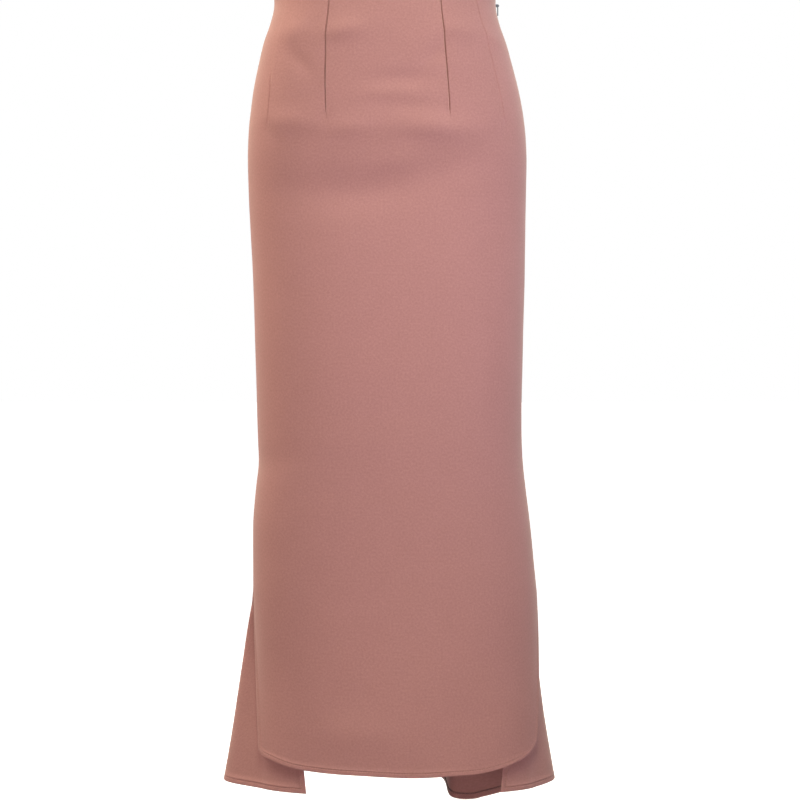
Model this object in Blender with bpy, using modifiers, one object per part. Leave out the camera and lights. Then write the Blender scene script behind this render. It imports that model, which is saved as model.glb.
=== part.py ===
"""A mermaid fishtail skirt in heavy crepe, worn and hollow.

The front panel is a straight column with four darts and a curved shirt-tail hem. The two back
halves meet at a centre seam, run down to the knee with the front, and then flare into a fishtail
whose edges pass under the front panel at two side slits. A concealed zip closes the seam at the
wearer's left. Metres, +Z up, the front faces -Y, and the origin is the middle of the waist edge.
"""

import math
from collections import namedtuple
from functools import lru_cache

import bmesh
import bpy
import numpy as np
from mathutils import Matrix, Vector

# Cloth
WALL = 0.0015
SEAM_GAP = 0.0003
DART_DEPTH = 0.0006
DART_HALF_WIDTH = 0.0013
DART_FADE = 0.030
HEM_WIDTH = 0.0055
HEM_RISE = 0.0004
HEM_STEP = 0.0008

# Plan of a section: a superellipse, a little squarer than an ellipse
FRONT_SQUARENESS = 2.3
BACK_SQUARENESS = 2.2
PLAN_POINTS = 90

# The side slits and the underlaps behind them
SLIT_TOP = 0.720
UNDERLAP_WIDTH = {"left": 0.053, "right": 0.0685}
UNDERLAP_COLUMNS = 4
TUCK = WALL + SEAM_GAP + 0.0014
TUCK_SPREAD = 0.004
DEEPEST = 0.965
HEM_GUIDE_DEPTH = 0.950

# One row for each level section from the waist edge to the top of the slits: its depth below the
# waist, the middle and half of its width, and how far its front and back reach from the side line.
Level = namedtuple("Level", "depth centre half front back")
BODY = (
    Level(0.000, 0.0000, 0.1342, 0.0985, 0.0935),
    Level(0.024, 0.0002, 0.1341, 0.1010, 0.0957),
    Level(0.045, 0.0000, 0.1392, 0.1032, 0.1010),
    Level(0.065, 0.0000, 0.1462, 0.1046, 0.1070),
    Level(0.090, 0.0006, 0.1527, 0.1053, 0.1130),
    Level(0.120, 0.0013, 0.1597, 0.1058, 0.1200),
    Level(0.155, 0.0024, 0.1652, 0.1062, 0.1265),
    Level(0.200, 0.0028, 0.1683, 0.1040, 0.1305),
    Level(0.240, 0.0030, 0.1678, 0.1008, 0.1299),
    Level(0.275, 0.0034, 0.1667, 0.1001, 0.1272),
    Level(0.350, 0.0048, 0.1641, 0.1017, 0.1170),
    Level(0.450, 0.0052, 0.1613, 0.1030, 0.1050),
    Level(0.545, 0.0061, 0.1594, 0.1031, 0.0985),
    Level(0.572, 0.0072, 0.1597, 0.1028, 0.0985),
    Level(0.600, 0.0072, 0.1627, 0.1027, 0.1010),
    Level(0.640, 0.0080, 0.1670, 0.1025, 0.1070),
    Level(0.690, 0.0104, 0.1695, 0.1025, 0.1190),
    Level(0.720, 0.0119, 0.1710, 0.1027, 0.1285),
)

# The front panel below the slits' tops: its free edges come forward by `edge`, and it goes only
# `wrap` of the way round to the side.
Apron = namedtuple("Apron", "depth centre half front edge wrap")
APRON = (
    Apron(0.762, 0.0134, 0.1715, 0.1032, 0.0060, 0.96),
    Apron(0.820, 0.0151, 0.1705, 0.1042, 0.0190, 0.87),
    Apron(0.870, 0.0161, 0.1692, 0.1052, 0.0310, 0.80),
    Apron(0.920, 0.0157, 0.1665, 0.1060, 0.0420, 0.75),
    Apron(0.965, 0.0157, 0.1650, 0.1065, 0.0500, 0.72),
)

# The back below the slits' tops, flaring out to the fishtail's hem.
Tail = namedtuple("Tail", "depth centre half side back")
TAIL = (
    Tail(0.780, 0.0079, 0.1756, 0.0030, 0.1500),
    Tail(0.825, 0.0059, 0.1805, 0.0060, 0.1690),
    Tail(0.860, 0.0054, 0.1853, 0.0085, 0.1845),
    Tail(0.908, 0.0057, 0.1928, 0.0120, 0.2060),
    Tail(0.950, 0.0055, 0.2003, 0.0150, 0.2240),
    Tail(1.010, 0.0055, 0.2093, 0.0180, 0.2480),
)

# Darts of the front, by where their stitched line starts at the waist and where it ends.
Dart = namedtuple("Dart", "top_x tip_x tip_depth")
FRONT_DARTS = (
    Dart(-0.1180, -0.1407, 0.170),
    Dart(-0.0655, -0.0688, 0.160),
    Dart(0.0660, 0.0768, 0.160),
    Dart(0.1075, 0.1434, 0.170),
)
# Darts of each back half, by their share of the way from the centre seam to the side seam.
BackDart = namedtuple("BackDart", "share tip_depth")
BACK_DARTS = (BackDart(0.36, 0.160), BackDart(0.64, 0.140))

# Flutes (reach out) and valleys (reach in) of the fishtail. Place and width are shares of the way
# from the centre seam (0) to the side (1 at the wearer's left, -1 at the right).
Flute = namedtuple("Flute", "place width reach starts")
FLUTES = (
    Flute(-0.80, 0.20, -0.014, 0.700),
    Flute(-0.62, 0.20, 0.016, 0.640),
    Flute(-0.41, 0.21, -0.052, 0.600),
    Flute(-0.16, 0.22, 0.014, 0.600),
    Flute(0.10, 0.20, 0.022, 0.590),
    Flute(0.355, 0.22, -0.064, 0.590),
    Flute(0.60, 0.20, 0.020, 0.620),
    Flute(0.80, 0.19, -0.012, 0.700),
)
FLUTE_GROWTH = 1.5
FLUTE_BOTTOM = 0.985

# Hem of the front panel: depth below the waist at a share of the way from the middle to an edge.
HemPoint = namedtuple("HemPoint", "share depth")
FRONT_HEM = (
    HemPoint(-1.00, 0.9138),
    HemPoint(-0.97, 0.9168),
    HemPoint(-0.83, 0.9243),
    HemPoint(-0.70, 0.9298),
    HemPoint(-0.50, 0.9335),
    HemPoint(-0.21, 0.9361),
    HemPoint(0.13, 0.9384),
    HemPoint(0.33, 0.9369),
    HemPoint(0.60, 0.9335),
    HemPoint(0.74, 0.9274),
    HemPoint(0.84, 0.9215),
    HemPoint(0.93, 0.9126),
    HemPoint(1.00, 0.9020),
)
# Hem of the back, at places as in FLUTES; past 1 it runs forward into the underlaps.
BACK_HEM = (
    HemPoint(-1.40, 0.9600),
    HemPoint(-1.15, 0.9595),
    HemPoint(-1.00, 0.9565),
    HemPoint(-0.80, 0.9550),
    HemPoint(-0.41, 0.9600),
    HemPoint(-0.10, 0.9780),
    HemPoint(0.10, 0.9820),
    HemPoint(0.22, 0.9870),
    HemPoint(0.34, 1.0000),
    HemPoint(0.43, 1.0035),
    HemPoint(0.55, 0.9870),
    HemPoint(0.75, 0.9620),
    HemPoint(1.00, 0.9550),
    HemPoint(1.15, 0.9585),
    HemPoint(1.40, 0.9600),
)

# Rows of the mesh above the slits' tops, and how many follow below them.
Stretch = namedtuple("Stretch", "bottom rows")
ROW_STRETCHES = (
    Stretch(0.008, 1),
    Stretch(0.040, 3),
    Stretch(0.160, 6),
    Stretch(0.170, 1),
    Stretch(0.255, 3),
    Stretch(0.545, 5),
    Stretch(SLIT_TOP, 5),
)
ROWS_BELOW_SLIT = 7

# The zip in the wearer's left side seam
ZIP_TOP = 0.008
ZIP_BOTTOM = 0.200
ZIP_TAPE_WIDTH = 0.0125
ZIP_TAPE_THICKNESS = 0.0010
TAPE_GAP = 0.0004
ZIP_PARTS_BY = 0.0040
ZIP_MOUTH = 0.036
SLIDER_DEPTH = 0.0192
SLIDER_SIZE = (0.0028, 0.0056, 0.0100)
LUG_THICKNESS = 0.0010
LUG_RADIUS = 0.0017
LUG_HOLE_RADIUS = 0.00095
PIN_RADIUS = 0.00065
PIN_STAND_OFF = 0.0026
RUNNING_GAP = 0.0003
PULL_LENGTH = 0.0127
PULL_THICKNESS = 0.0012
PULL_ARM = 0.0010
PULL_HALF_WIDTH = 0.0022


def share_out(values, counts):
    """Places from each value to the next one, in the number of even steps given for each."""
    places = [values[0]]
    for start, end, count in zip(values, values[1:], counts):
        for step in range(1, count + 1):
            places.append(start + (end - start) * step / count)
    return places


def smooth_between(rows, at):
    """A table's columns at a place in its first column, on a smooth curve through its rows."""
    table = np.array(rows)
    keys = table[:, 0]
    at = min(max(at, keys[0]), keys[-1])
    low = int(min(max(np.searchsorted(keys, at, side="right") - 1, 0), len(keys) - 2))
    steps = np.diff(keys)[:, None]
    slopes = np.diff(table, axis=0) / steps
    inner = (slopes[:-1] * steps[1:] + slopes[1:] * steps[:-1]) / (steps[:-1] + steps[1:])
    tangents = np.vstack([slopes[:1], inner, slopes[-1:]])
    span = keys[low + 1] - keys[low]
    t = (at - keys[low]) / span
    row = (
        (2 * t**3 - 3 * t**2 + 1) * table[low]
        + (t**3 - 2 * t**2 + t) * span * tangents[low]
        + (3 * t**2 - 2 * t**3) * table[low + 1]
        + (t**3 - t**2) * span * tangents[low + 1]
    )
    return type(rows[0])(*row)


FRONT_LEVELS = tuple(Apron(r.depth, r.centre, r.half, r.front, 0.0, 1.0) for r in BODY) + APRON
BACK_LEVELS = tuple(Tail(r.depth, r.centre, r.half, 0.0, r.back) for r in BODY) + TAIL


class Plan:
    """A line in plan, with places on it told by their length from its start."""

    def __init__(self, across, along):
        self.points = np.column_stack([across, along])
        steps = np.hypot(*np.diff(self.points, axis=0).T)
        self.lengths = np.concatenate([[0.0], np.cumsum(steps)])
        self.length = self.lengths[-1]
        direction = np.gradient(self.points, axis=0)
        self.tangents = direction / np.hypot(*direction.T)[:, None]

    def read(self, values, length):
        return np.array([np.interp(length, self.lengths, column) for column in values.T])

    def point(self, length):
        return self.read(self.points, length)

    def tangent(self, length):
        direction = self.read(self.tangents, length)
        return direction / np.hypot(*direction)


@lru_cache(maxsize=None)
def front_half(depth):
    """The front's outer face from its middle to its edge, with x measured from the middle."""
    level = smooth_between(FRONT_LEVELS, depth)
    power = 2.0 / FRONT_SQUARENESS
    angle = np.linspace(0.0, level.wrap * math.pi / 2.0, PLAN_POINTS)
    across = np.sin(angle) ** power
    forward = np.cos(angle) ** power
    fall = (level.front - level.edge) / (1.0 - forward[-1])
    return level, Plan(level.half * across / across[-1], fall * (1.0 - forward) - level.front)


def front_place(share, depth, inward=0.0):
    """A point of the front's outer face, or one moved inward, share -1..1 from edge to edge."""
    level, plan = front_half(depth)
    side = math.copysign(1.0, share)
    length = abs(share) * plan.length
    x, y = plan.point(length)
    along_x, along_y = plan.tangent(length)
    x -= along_y * inward
    y += along_x * inward
    return Vector((level.centre + side * x, y, -depth))


def front_share(x, depth):
    """The share of the way to the edge at which the front's face lies at this x."""
    level, plan = front_half(depth)
    offset = x - level.centre
    length = np.interp(abs(offset), plan.points[:, 0], plan.lengths)
    return math.copysign(length / plan.length, offset)


def underlap_tuck(depth):
    """How far behind the front's outer face the underlap's outer face lies."""
    return TUCK + TUCK_SPREAD * max(depth - SLIT_TOP, 0.0) / (DEEPEST - SLIT_TOP)


@lru_cache(maxsize=None)
def back_half(depth, side):
    """The back's plain face from the centre seam to the side, and on round to the slit's edge."""
    level = smooth_between(BACK_LEVELS, depth)
    power = 2.0 / BACK_SQUARENESS
    angle = np.linspace(0.0, math.pi / 2.0, PLAN_POINTS)
    across = level.half * np.sin(angle) ** power
    along = level.side + (level.back - level.side) * np.cos(angle) ** power
    plan = Plan(across, along)
    if depth <= SLIT_TOP:
        return level, plan, None
    edge = front_place(side, depth, underlap_tuck(depth))
    front_plan = front_half(depth)[1]
    outward = front_plan.tangent(front_plan.length)
    start = np.array([level.half, level.side])
    end = np.array([side * (edge.x - level.centre), edge.y])
    reach = 0.4 * np.hypot(*(end - start))
    controls = (start, start + (0.0, -reach), end + reach * outward, end)
    t = np.linspace(0.0, 1.0, PLAN_POINTS)[:, None]
    weights = ((1 - t) ** 3, 3 * t * (1 - t) ** 2, 3 * t**2 * (1 - t), t**3)
    curve = sum(weight * control for weight, control in zip(weights, controls))
    return level, plan, Plan(curve[:, 0], curve[:, 1])


def flute_reach(place, depth):
    """How far the fishtail's folds push its face out at a place and depth."""
    reach = 0.0
    for flute in FLUTES:
        away = abs(place - flute.place) / flute.width
        grown = (depth - flute.starts) / (FLUTE_BOTTOM - flute.starts)
        if away < 1.0 and grown > 0.0:
            reach += flute.reach * grown**FLUTE_GROWTH * math.cos(away * math.pi / 2.0) ** 2
    return reach


def back_place(share, side, depth, inward=0.0):
    """A point of the back's outer face, share 0..1 from the centre seam to the slit's edge."""
    level, plan, turn = back_half(depth, side)
    turn_share = turn.length / plan.length if turn else 0.0
    place = share * (1.0 + turn_share)
    if place <= 1.0:
        line = plan
        length = place * plan.length
        inward -= flute_reach(side * place, depth)
    else:
        line = turn
        length = (place - 1.0) * plan.length
    x, y = line.point(length)
    along_x, along_y = line.tangent(length)
    x += along_y * inward
    y -= along_x * inward
    return Vector((level.centre + side * x, y, -depth))


def back_hem_depth(share, side):
    """Depth of the back's hem at a share of the way from the centre seam to the slit's edge."""
    plan, turn = back_half(HEM_GUIDE_DEPTH, side)[1:]
    return smooth_between(BACK_HEM, side * share * (1.0 + turn.length / plan.length)).depth


def zip_gap(depth):
    """Clear space between the seam's two sides at the zip, which part round the slider."""
    return SEAM_GAP + ZIP_PARTS_BY * max(0.0, 1.0 - depth / ZIP_MOUTH)


def row_depths(hem_depth):
    """Depths of a column's rows from the waist edge down to its hem."""
    bounds = [0.0] + [stretch.bottom for stretch in ROW_STRETCHES]
    bounds += [hem_depth - HEM_WIDTH, hem_depth - HEM_WIDTH + HEM_STEP, hem_depth]
    counts = [stretch.rows for stretch in ROW_STRETCHES] + [ROWS_BELOW_SLIT, 1, 1]
    return share_out(bounds, counts)


UPPER_ROWS = sum(stretch.rows for stretch in ROW_STRETCHES)
ROW_COUNT = UPPER_ROWS + ROWS_BELOW_SLIT + 2


def row_at(depth):
    """The row of the mesh that lies at a depth above the slits' tops."""
    return min(range(UPPER_ROWS + 1), key=lambda row: abs(row_depths(HEM_GUIDE_DEPTH)[row] - depth))


def dart_fold(depth, tip_depth):
    """How far a dart's stitched line is drawn in at a depth."""
    return DART_DEPTH * min(1.0, max(0.0, (tip_depth - depth) / DART_FADE))


def front_columns(depth):
    """Places of the front's columns, with three at each dart and two along each hemmed slit."""
    length = front_half(depth)[1].length
    band = HEM_WIDTH / length
    step = HEM_STEP / length
    shoulder = DART_HALF_WIDTH / length
    left_gap = SEAM_GAP / 2.0 / length
    right_gap = zip_gap(depth) / 2.0 / length
    tape = ZIP_TAPE_WIDTH / length
    places = [-1.0 + left_gap, -1.0 + band, -1.0 + band + step, -1.0 + tape]
    for dart in FRONT_DARTS:
        down = min(depth / dart.tip_depth, 1.0)
        at_top = front_share(dart.top_x, 0.0)
        at_tip = front_share(dart.tip_x, dart.tip_depth)
        middle = at_top + (at_tip - at_top) * down
        places += [middle - shoulder, middle, middle + shoulder]
    places += [1.0 - tape, 1.0 - band - step, 1.0 - band, 1.0 - right_gap]
    return places


FRONT_COUNTS = (1, 1, 1, 2, 1, 1, 4, 1, 1, 7, 1, 1, 4, 1, 1, 2, 1, 1, 1)
FRONT_DART_COLUMNS = (6, 12, 21, 27)
BACK_COUNTS = (9, 1, 1, 7, 1, 1, 8, 1, 1)
BACK_DART_COLUMNS = (10, 19)


def back_columns(depth, side):
    """Places of a back half's columns, from the centre seam to the side seam."""
    plan, turn = back_half(depth, side)[1:]
    whole = plan.length + (turn.length if turn else 0.0)
    shoulder = DART_HALF_WIDTH / whole
    gap = (zip_gap(depth) if side > 0 else SEAM_GAP) / 2.0 / whole
    if depth > SLIT_TOP:
        gap = 0.0
    places = [SEAM_GAP / 2.0 / whole]
    for dart in BACK_DARTS:
        places += [dart.share - shoulder, dart.share, dart.share + shoulder]
    places += [1.0 - 2.0 * ZIP_TAPE_WIDTH / whole, 1.0 - ZIP_TAPE_WIDTH / whole, 1.0 - gap]
    return places


def grid_mesh(columns, rows):
    """A flat grid, and its vertices by column and row, the top row first."""
    mesh = bmesh.new()
    bmesh.ops.create_grid(mesh, x_segments=columns, y_segments=rows, size=1.0)
    places = {}
    for vertex in mesh.verts:
        column = round((vertex.co.x + 1.0) / 2.0 * columns)
        row = round((1.0 - vertex.co.y) / 2.0 * rows)
        places[column, row] = vertex
    return mesh, places


def drop_column(mesh, places, column, first_row, last_row):
    """Takes a column's upright edges out between two rows, where the face needs none."""
    edges = []
    for row in range(first_row, last_row):
        ends = places[column, row], places[column, row + 1]
        edges += [edge for edge in ends[0].link_edges if edge.other_vert(ends[0]) is ends[1]]
    bmesh.ops.dissolve_edges(mesh, edges=edges, use_verts=True)


def make_material(name, colour, roughness, metallic=0.0):
    material = bpy.data.materials.new(name)
    material.use_nodes = True
    shader = material.node_tree.nodes["Principled BSDF"]
    shader.inputs["Base Color"].default_value = (*colour, 1.0)
    shader.inputs["Roughness"].default_value = roughness
    shader.inputs["Metallic"].default_value = metallic
    return material


def add_object(name, data, material, collection):
    piece = bpy.data.objects.new(name, data)
    collection.objects.link(piece)
    data.materials.append(material)
    return piece


def cloth_object(name, mesh, material, collection, thickness=WALL):
    """A panel from its open outer face, given its thickness inward."""
    data = bpy.data.meshes.new(name)
    mesh.to_mesh(data)
    mesh.free()
    data.shade_smooth()
    data.set_sharp_from_angle(angle=math.radians(35))
    piece = add_object(name, data, material, collection)
    solid = piece.modifiers.new("Wall", "SOLIDIFY")
    solid.thickness = thickness
    solid.offset = -1.0
    solid.use_even_offset = True
    return piece


def make_front(material, collection):
    """The front panel, with its four darts, its slit edges and its shirt-tail hem."""
    columns = sum(FRONT_COUNTS)
    mesh, places = grid_mesh(columns, ROW_COUNT)
    tips = dict(zip(FRONT_DART_COLUMNS, (dart.tip_depth for dart in FRONT_DARTS)))
    for (column, row), vertex in places.items():
        level_share = share_out(front_columns(SLIT_TOP), FRONT_COUNTS)[column]
        hem = smooth_between(FRONT_HEM, level_share).depth
        depth = row_depths(hem)[row]
        share = share_out(front_columns(depth), FRONT_COUNTS)[column]
        inward = dart_fold(depth, tips[column]) if column in tips else 0.0
        beside_slit = row > UPPER_ROWS and column in (0, 1, columns - 1, columns)
        if beside_slit or row > ROW_COUNT - 2:
            inward -= HEM_RISE
        vertex.co = front_place(share, depth, inward)
    for column, tip_depth in tips.items():
        for shoulder in (column - 1, column + 1):
            drop_column(mesh, places, shoulder, row_at(tip_depth), ROW_COUNT)
    for column in (1, columns - 1):
        drop_column(mesh, places, column, 0, UPPER_ROWS)
    return cloth_object("front_panel", mesh, material, collection)


def make_back(name, side, underlap, material, collection):
    """A back half, with its darts, its half of the fishtail and its underlap."""
    columns = sum(BACK_COUNTS)
    mesh, places = grid_mesh(columns + UNDERLAP_COLUMNS, ROW_COUNT)
    tips = dict(zip(BACK_DART_COLUMNS, (dart.tip_depth for dart in BACK_DARTS)))
    spare = []
    for (column, row), vertex in places.items():
        level_share = share_out(back_columns(SLIT_TOP, side), BACK_COUNTS)[min(column, columns)]
        depth = row_depths(back_hem_depth(level_share, side))[row]
        if column <= columns:
            share = share_out(back_columns(depth, side), BACK_COUNTS)[column]
            inward = dart_fold(depth, tips[column]) if column in tips else 0.0
            if row > ROW_COUNT - 2:
                inward -= HEM_RISE
            vertex.co = back_place(share, side, depth, inward)
        elif row <= UPPER_ROWS:
            spare.append(vertex)
        else:
            width = underlap * (column - columns) / UNDERLAP_COLUMNS
            share = side * (1.0 - width / front_half(depth)[1].length)
            inward = underlap_tuck(depth)
            if row > ROW_COUNT - 2:
                inward -= HEM_RISE
            vertex.co = front_place(share, depth, inward)
    for column, tip_depth in tips.items():
        for shoulder in (column - 1, column + 1):
            drop_column(mesh, places, shoulder, row_at(tip_depth), ROW_COUNT)
    bmesh.ops.delete(mesh, geom=spare, context="VERTS")
    if side > 0:
        bmesh.ops.reverse_faces(mesh, faces=mesh.faces)
    return cloth_object(name, mesh, material, collection)


def make_tape(name, place_at, shares_at, outward, material, collection):
    """One tape of the zip, from the points of a panel's edge moved inward."""
    first = row_at(ZIP_TOP)
    rows = row_at(ZIP_BOTTOM) - first
    columns = len(shares_at(ZIP_TOP)) - 1
    mesh, places = grid_mesh(columns, rows)
    for (column, row), vertex in places.items():
        depth = row_depths(HEM_GUIDE_DEPTH)[first + row]
        vertex.co = place_at(shares_at(depth)[column], depth)
    if not outward:
        bmesh.ops.reverse_faces(mesh, faces=mesh.faces)
    return cloth_object(name, mesh, material, collection, ZIP_TAPE_THICKNESS)


def front_tape_shares(depth):
    tape, step, band, edge = front_columns(depth)[-4:]
    return tape, step, edge


def front_tape_place(share, depth):
    return front_place(share, depth, WALL + TAPE_GAP)


def back_tape_shares(depth):
    return back_columns(depth, 1.0)[-2:]


def back_tape_place(share, depth):
    return back_place(share, 1.0, depth, WALL + TAPE_GAP)


def add_cylinder(name, radius, length, centre, material, collection):
    """A round bar that lies along Y."""
    mesh = bmesh.new()
    turn = Matrix.Rotation(math.pi / 2.0, 4, "X")
    bmesh.ops.create_cone(
        mesh, cap_ends=True, segments=24, radius1=radius, radius2=radius, depth=length, matrix=turn
    )
    data = bpy.data.meshes.new(name)
    mesh.to_mesh(data)
    mesh.free()
    piece = add_object(name, data, material, collection)
    piece.location = centre
    return piece


def add_block(name, size, centre, material, collection):
    mesh = bmesh.new()
    bmesh.ops.create_cube(mesh, size=1.0, matrix=Matrix.Diagonal((*size, 1.0)))
    data = bpy.data.meshes.new(name)
    mesh.to_mesh(data)
    mesh.free()
    piece = add_object(name, data, material, collection)
    piece.location = centre
    return piece


def combine(piece, tool, operation):
    """A Boolean that joins a tool to a piece or cuts it out; the tool itself isn't a part."""
    tool.hide_render = True
    tool.display_type = "WIRE"
    step = piece.modifiers.new(tool.name, "BOOLEAN")
    step.operation = operation
    step.solver = "EXACT"
    step.object = tool


def make_slider(pin, inner_face, metal, collection, cutters):
    """The slider: a body inside the tapes and a lug that comes out between the seam's sides."""
    body_centre = Vector((inner_face - SLIDER_SIZE[0] / 2.0, 0.0, pin.z))
    slider = add_block("zip_slider", SLIDER_SIZE, body_centre, metal, collection)
    edge = slider.modifiers.new("Edges", "BEVEL")
    edge.width = 0.0006
    edge.segments = 2
    lug_start = inner_face - SLIDER_SIZE[0] / 2.0
    lug_size = (pin.x - lug_start, LUG_THICKNESS, LUG_RADIUS * 2.0)
    lug_centre = Vector(((pin.x + lug_start) / 2.0, 0.0, pin.z))
    lug = add_block("lug_bar", lug_size, lug_centre, metal, cutters)
    eye = add_cylinder("lug_eye", LUG_RADIUS, LUG_THICKNESS, pin, metal, cutters)
    hole = add_cylinder("lug_hole", LUG_HOLE_RADIUS, 3.0 * LUG_THICKNESS, pin, metal, cutters)
    combine(slider, lug, "UNION")
    combine(slider, eye, "UNION")
    combine(slider, hole, "DIFFERENCE")
    return slider


def pull_outline():
    """Half-width and height points of the pull tab: two arms, a slot between, a round foot."""
    slot = LUG_THICKNESS / 2.0 + RUNNING_GAP
    arm = slot + PULL_ARM
    slot_bottom = -(LUG_RADIUS + RUNNING_GAP)
    top = PULL_THICKNESS / 2.0
    foot = PULL_HALF_WIDTH
    foot_centre = top - PULL_LENGTH + foot
    points = [(slot, slot_bottom), (slot, top), (arm, top), (arm, slot_bottom - 0.001)]
    for step in range(9):
        angle = -math.pi / 2.0 * step / 8.0
        points.append((foot * math.cos(angle), foot_centre + foot * math.sin(angle)))
    mirrored = [(-across, up) for across, up in reversed(points[:-1])]
    return points + mirrored


def make_pull(pin, metal, collection, cutters):
    """The pull tab, a flat tear-drop forked round the slider's lug, with its cross pin."""
    curve = bpy.data.curves.new("zip_pull_outline", "CURVE")
    curve.dimensions = "2D"
    curve.fill_mode = "BOTH"
    curve.extrude = PULL_THICKNESS / 2.0
    points = pull_outline()
    spline = curve.splines.new("POLY")
    spline.points.add(len(points) - 1)
    for point, (across, up) in zip(spline.points, points):
        point.co = (across, up, 0.0, 1.0)
    spline.use_cyclic_u = True
    outline = bpy.data.objects.new("zip_pull_outline", curve)
    cutters.objects.link(outline)
    upright = Matrix(((0, 0, 1, 0), (1, 0, 0, 0), (0, 1, 0, 0), (0, 0, 0, 1)))
    bpy.context.view_layer.update()
    evaluated = outline.evaluated_get(bpy.context.evaluated_depsgraph_get())
    data = bpy.data.meshes.new_from_object(evaluated)
    bpy.data.objects.remove(outline)
    mesh = bmesh.new()
    mesh.from_mesh(data)
    bmesh.ops.remove_doubles(mesh, verts=mesh.verts, dist=0.00001)
    bmesh.ops.transform(mesh, matrix=upright, verts=mesh.verts)
    bmesh.ops.recalc_face_normals(mesh, faces=mesh.faces)
    mesh.to_mesh(data)
    mesh.free()
    data.name = "zip_pull"
    data.materials.clear()
    pull = add_object("zip_pull", data, metal, collection)
    pull.location = pin
    width = LUG_THICKNESS + 2.0 * RUNNING_GAP + PULL_ARM
    pin_bar = add_cylinder("pull_pin", PIN_RADIUS, width, pin, metal, cutters)
    combine(pull, pin_bar, "UNION")
    return pull


def main():
    for old in list(bpy.data.objects):
        bpy.data.objects.remove(old, do_unlink=True)
    skirt = bpy.data.collections.new("mermaid_fishtail_skirt")
    cutters = bpy.data.collections.new("cutters")
    bpy.context.scene.collection.children.link(skirt)
    bpy.context.scene.collection.children.link(cutters)

    crepe = make_material("rose crepe", (0.33, 0.16, 0.13), 0.85)
    tape = make_material("zip tape", (0.28, 0.14, 0.12), 0.80)
    metal = make_material("gunmetal zinc", (0.10, 0.11, 0.13), 0.35, 1.0)

    make_front(crepe, skirt)
    make_back("back_left", 1.0, UNDERLAP_WIDTH["left"], crepe, skirt)
    make_back("back_right", -1.0, UNDERLAP_WIDTH["right"], crepe, skirt)
    make_tape("zip_tape_front", front_tape_place, front_tape_shares, True, tape, skirt)
    make_tape("zip_tape_back", back_tape_place, back_tape_shares, False, tape, skirt)

    seam = front_place(1.0, SLIDER_DEPTH)
    pin = Vector((seam.x + PIN_STAND_OFF, 0.0, -SLIDER_DEPTH))
    tape_inner_face = seam.x - WALL - TAPE_GAP - ZIP_TAPE_THICKNESS - RUNNING_GAP
    make_slider(pin, tape_inner_face, metal, skirt, cutters)
    make_pull(pin, metal, skirt, cutters)
    bpy.context.view_layer.update()


main()
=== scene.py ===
"""The looks of a mermaid fishtail skirt: heavy rose crepe, worn, with a concealed zip at the side.

The three panels are closed shells of cloth on the faces of their CAD solids, with turned hems,
seam allowances, darts, soft creases, stitches and overlock, whose near-black thread is a painted
shadow line inside the hems. The zip comes after them.
Metres, +Z up, the front faces -Y, and the origin is the middle of the waist edge.
"""

import math
from collections import namedtuple

import bmesh
import bpy
import numpy as np
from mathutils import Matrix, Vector, noise


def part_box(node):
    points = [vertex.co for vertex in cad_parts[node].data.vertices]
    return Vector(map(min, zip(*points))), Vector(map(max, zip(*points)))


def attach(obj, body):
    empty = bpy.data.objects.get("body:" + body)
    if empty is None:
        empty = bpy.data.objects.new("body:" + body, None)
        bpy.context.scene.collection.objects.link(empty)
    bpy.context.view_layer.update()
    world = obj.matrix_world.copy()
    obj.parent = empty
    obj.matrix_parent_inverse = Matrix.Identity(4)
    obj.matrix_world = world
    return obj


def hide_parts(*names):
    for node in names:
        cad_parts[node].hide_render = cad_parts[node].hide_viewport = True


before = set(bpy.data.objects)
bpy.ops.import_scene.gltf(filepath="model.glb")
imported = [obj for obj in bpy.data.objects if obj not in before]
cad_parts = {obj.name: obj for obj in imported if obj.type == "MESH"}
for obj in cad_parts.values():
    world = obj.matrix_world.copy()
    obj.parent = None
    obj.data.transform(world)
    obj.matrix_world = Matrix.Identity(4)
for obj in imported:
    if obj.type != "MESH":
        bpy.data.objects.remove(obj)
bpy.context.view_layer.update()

MM = 0.001


def records(kind, *rows):
    return tuple(kind(*row) for row in rows)


# --- Sizes that the solids share
FRONT_SQUARENESS = 2.3
BACK_SQUARENESS = 2.2
PLAN_POINTS = 240

SLIT_TOP = 0.720
UNDERLAP_WIDTH = {1: 0.053, -1: 0.0685}
TUCK = 0.0032
TUCK_SPREAD = 0.004
TURN_PULL = 0.4
DEEPEST = 0.965
HEM_GUIDE_DEPTH = 0.950
FACE_BOTTOM = 1.014

# Level sections by their depth under the waist edge: the middle's x, half the width, and how far
# the front and the back reach
BODY = records(
    namedtuple("Level", "depth centre half front back"),
    (0.000, 0.0000, 0.1342, 0.0985, 0.0935),
    (0.024, 0.0002, 0.1341, 0.1010, 0.0957),
    (0.045, 0.0000, 0.1392, 0.1032, 0.1010),
    (0.065, 0.0000, 0.1462, 0.1046, 0.1070),
    (0.090, 0.0006, 0.1527, 0.1053, 0.1130),
    (0.120, 0.0013, 0.1597, 0.1058, 0.1200),
    (0.155, 0.0024, 0.1652, 0.1062, 0.1265),
    (0.200, 0.0028, 0.1683, 0.1040, 0.1305),
    (0.240, 0.0030, 0.1678, 0.1008, 0.1299),
    (0.275, 0.0034, 0.1667, 0.1001, 0.1272),
    (0.350, 0.0048, 0.1641, 0.1017, 0.1170),
    (0.450, 0.0052, 0.1613, 0.1030, 0.1050),
    (0.545, 0.0061, 0.1594, 0.1031, 0.0985),
    (0.572, 0.0072, 0.1597, 0.1028, 0.0985),
    (0.600, 0.0072, 0.1627, 0.1027, 0.1010),
    (0.640, 0.0080, 0.1670, 0.1025, 0.1070),
    (0.690, 0.0104, 0.1695, 0.1025, 0.1190),
    (0.720, 0.0119, 0.1710, 0.1027, 0.1285),
)
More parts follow.
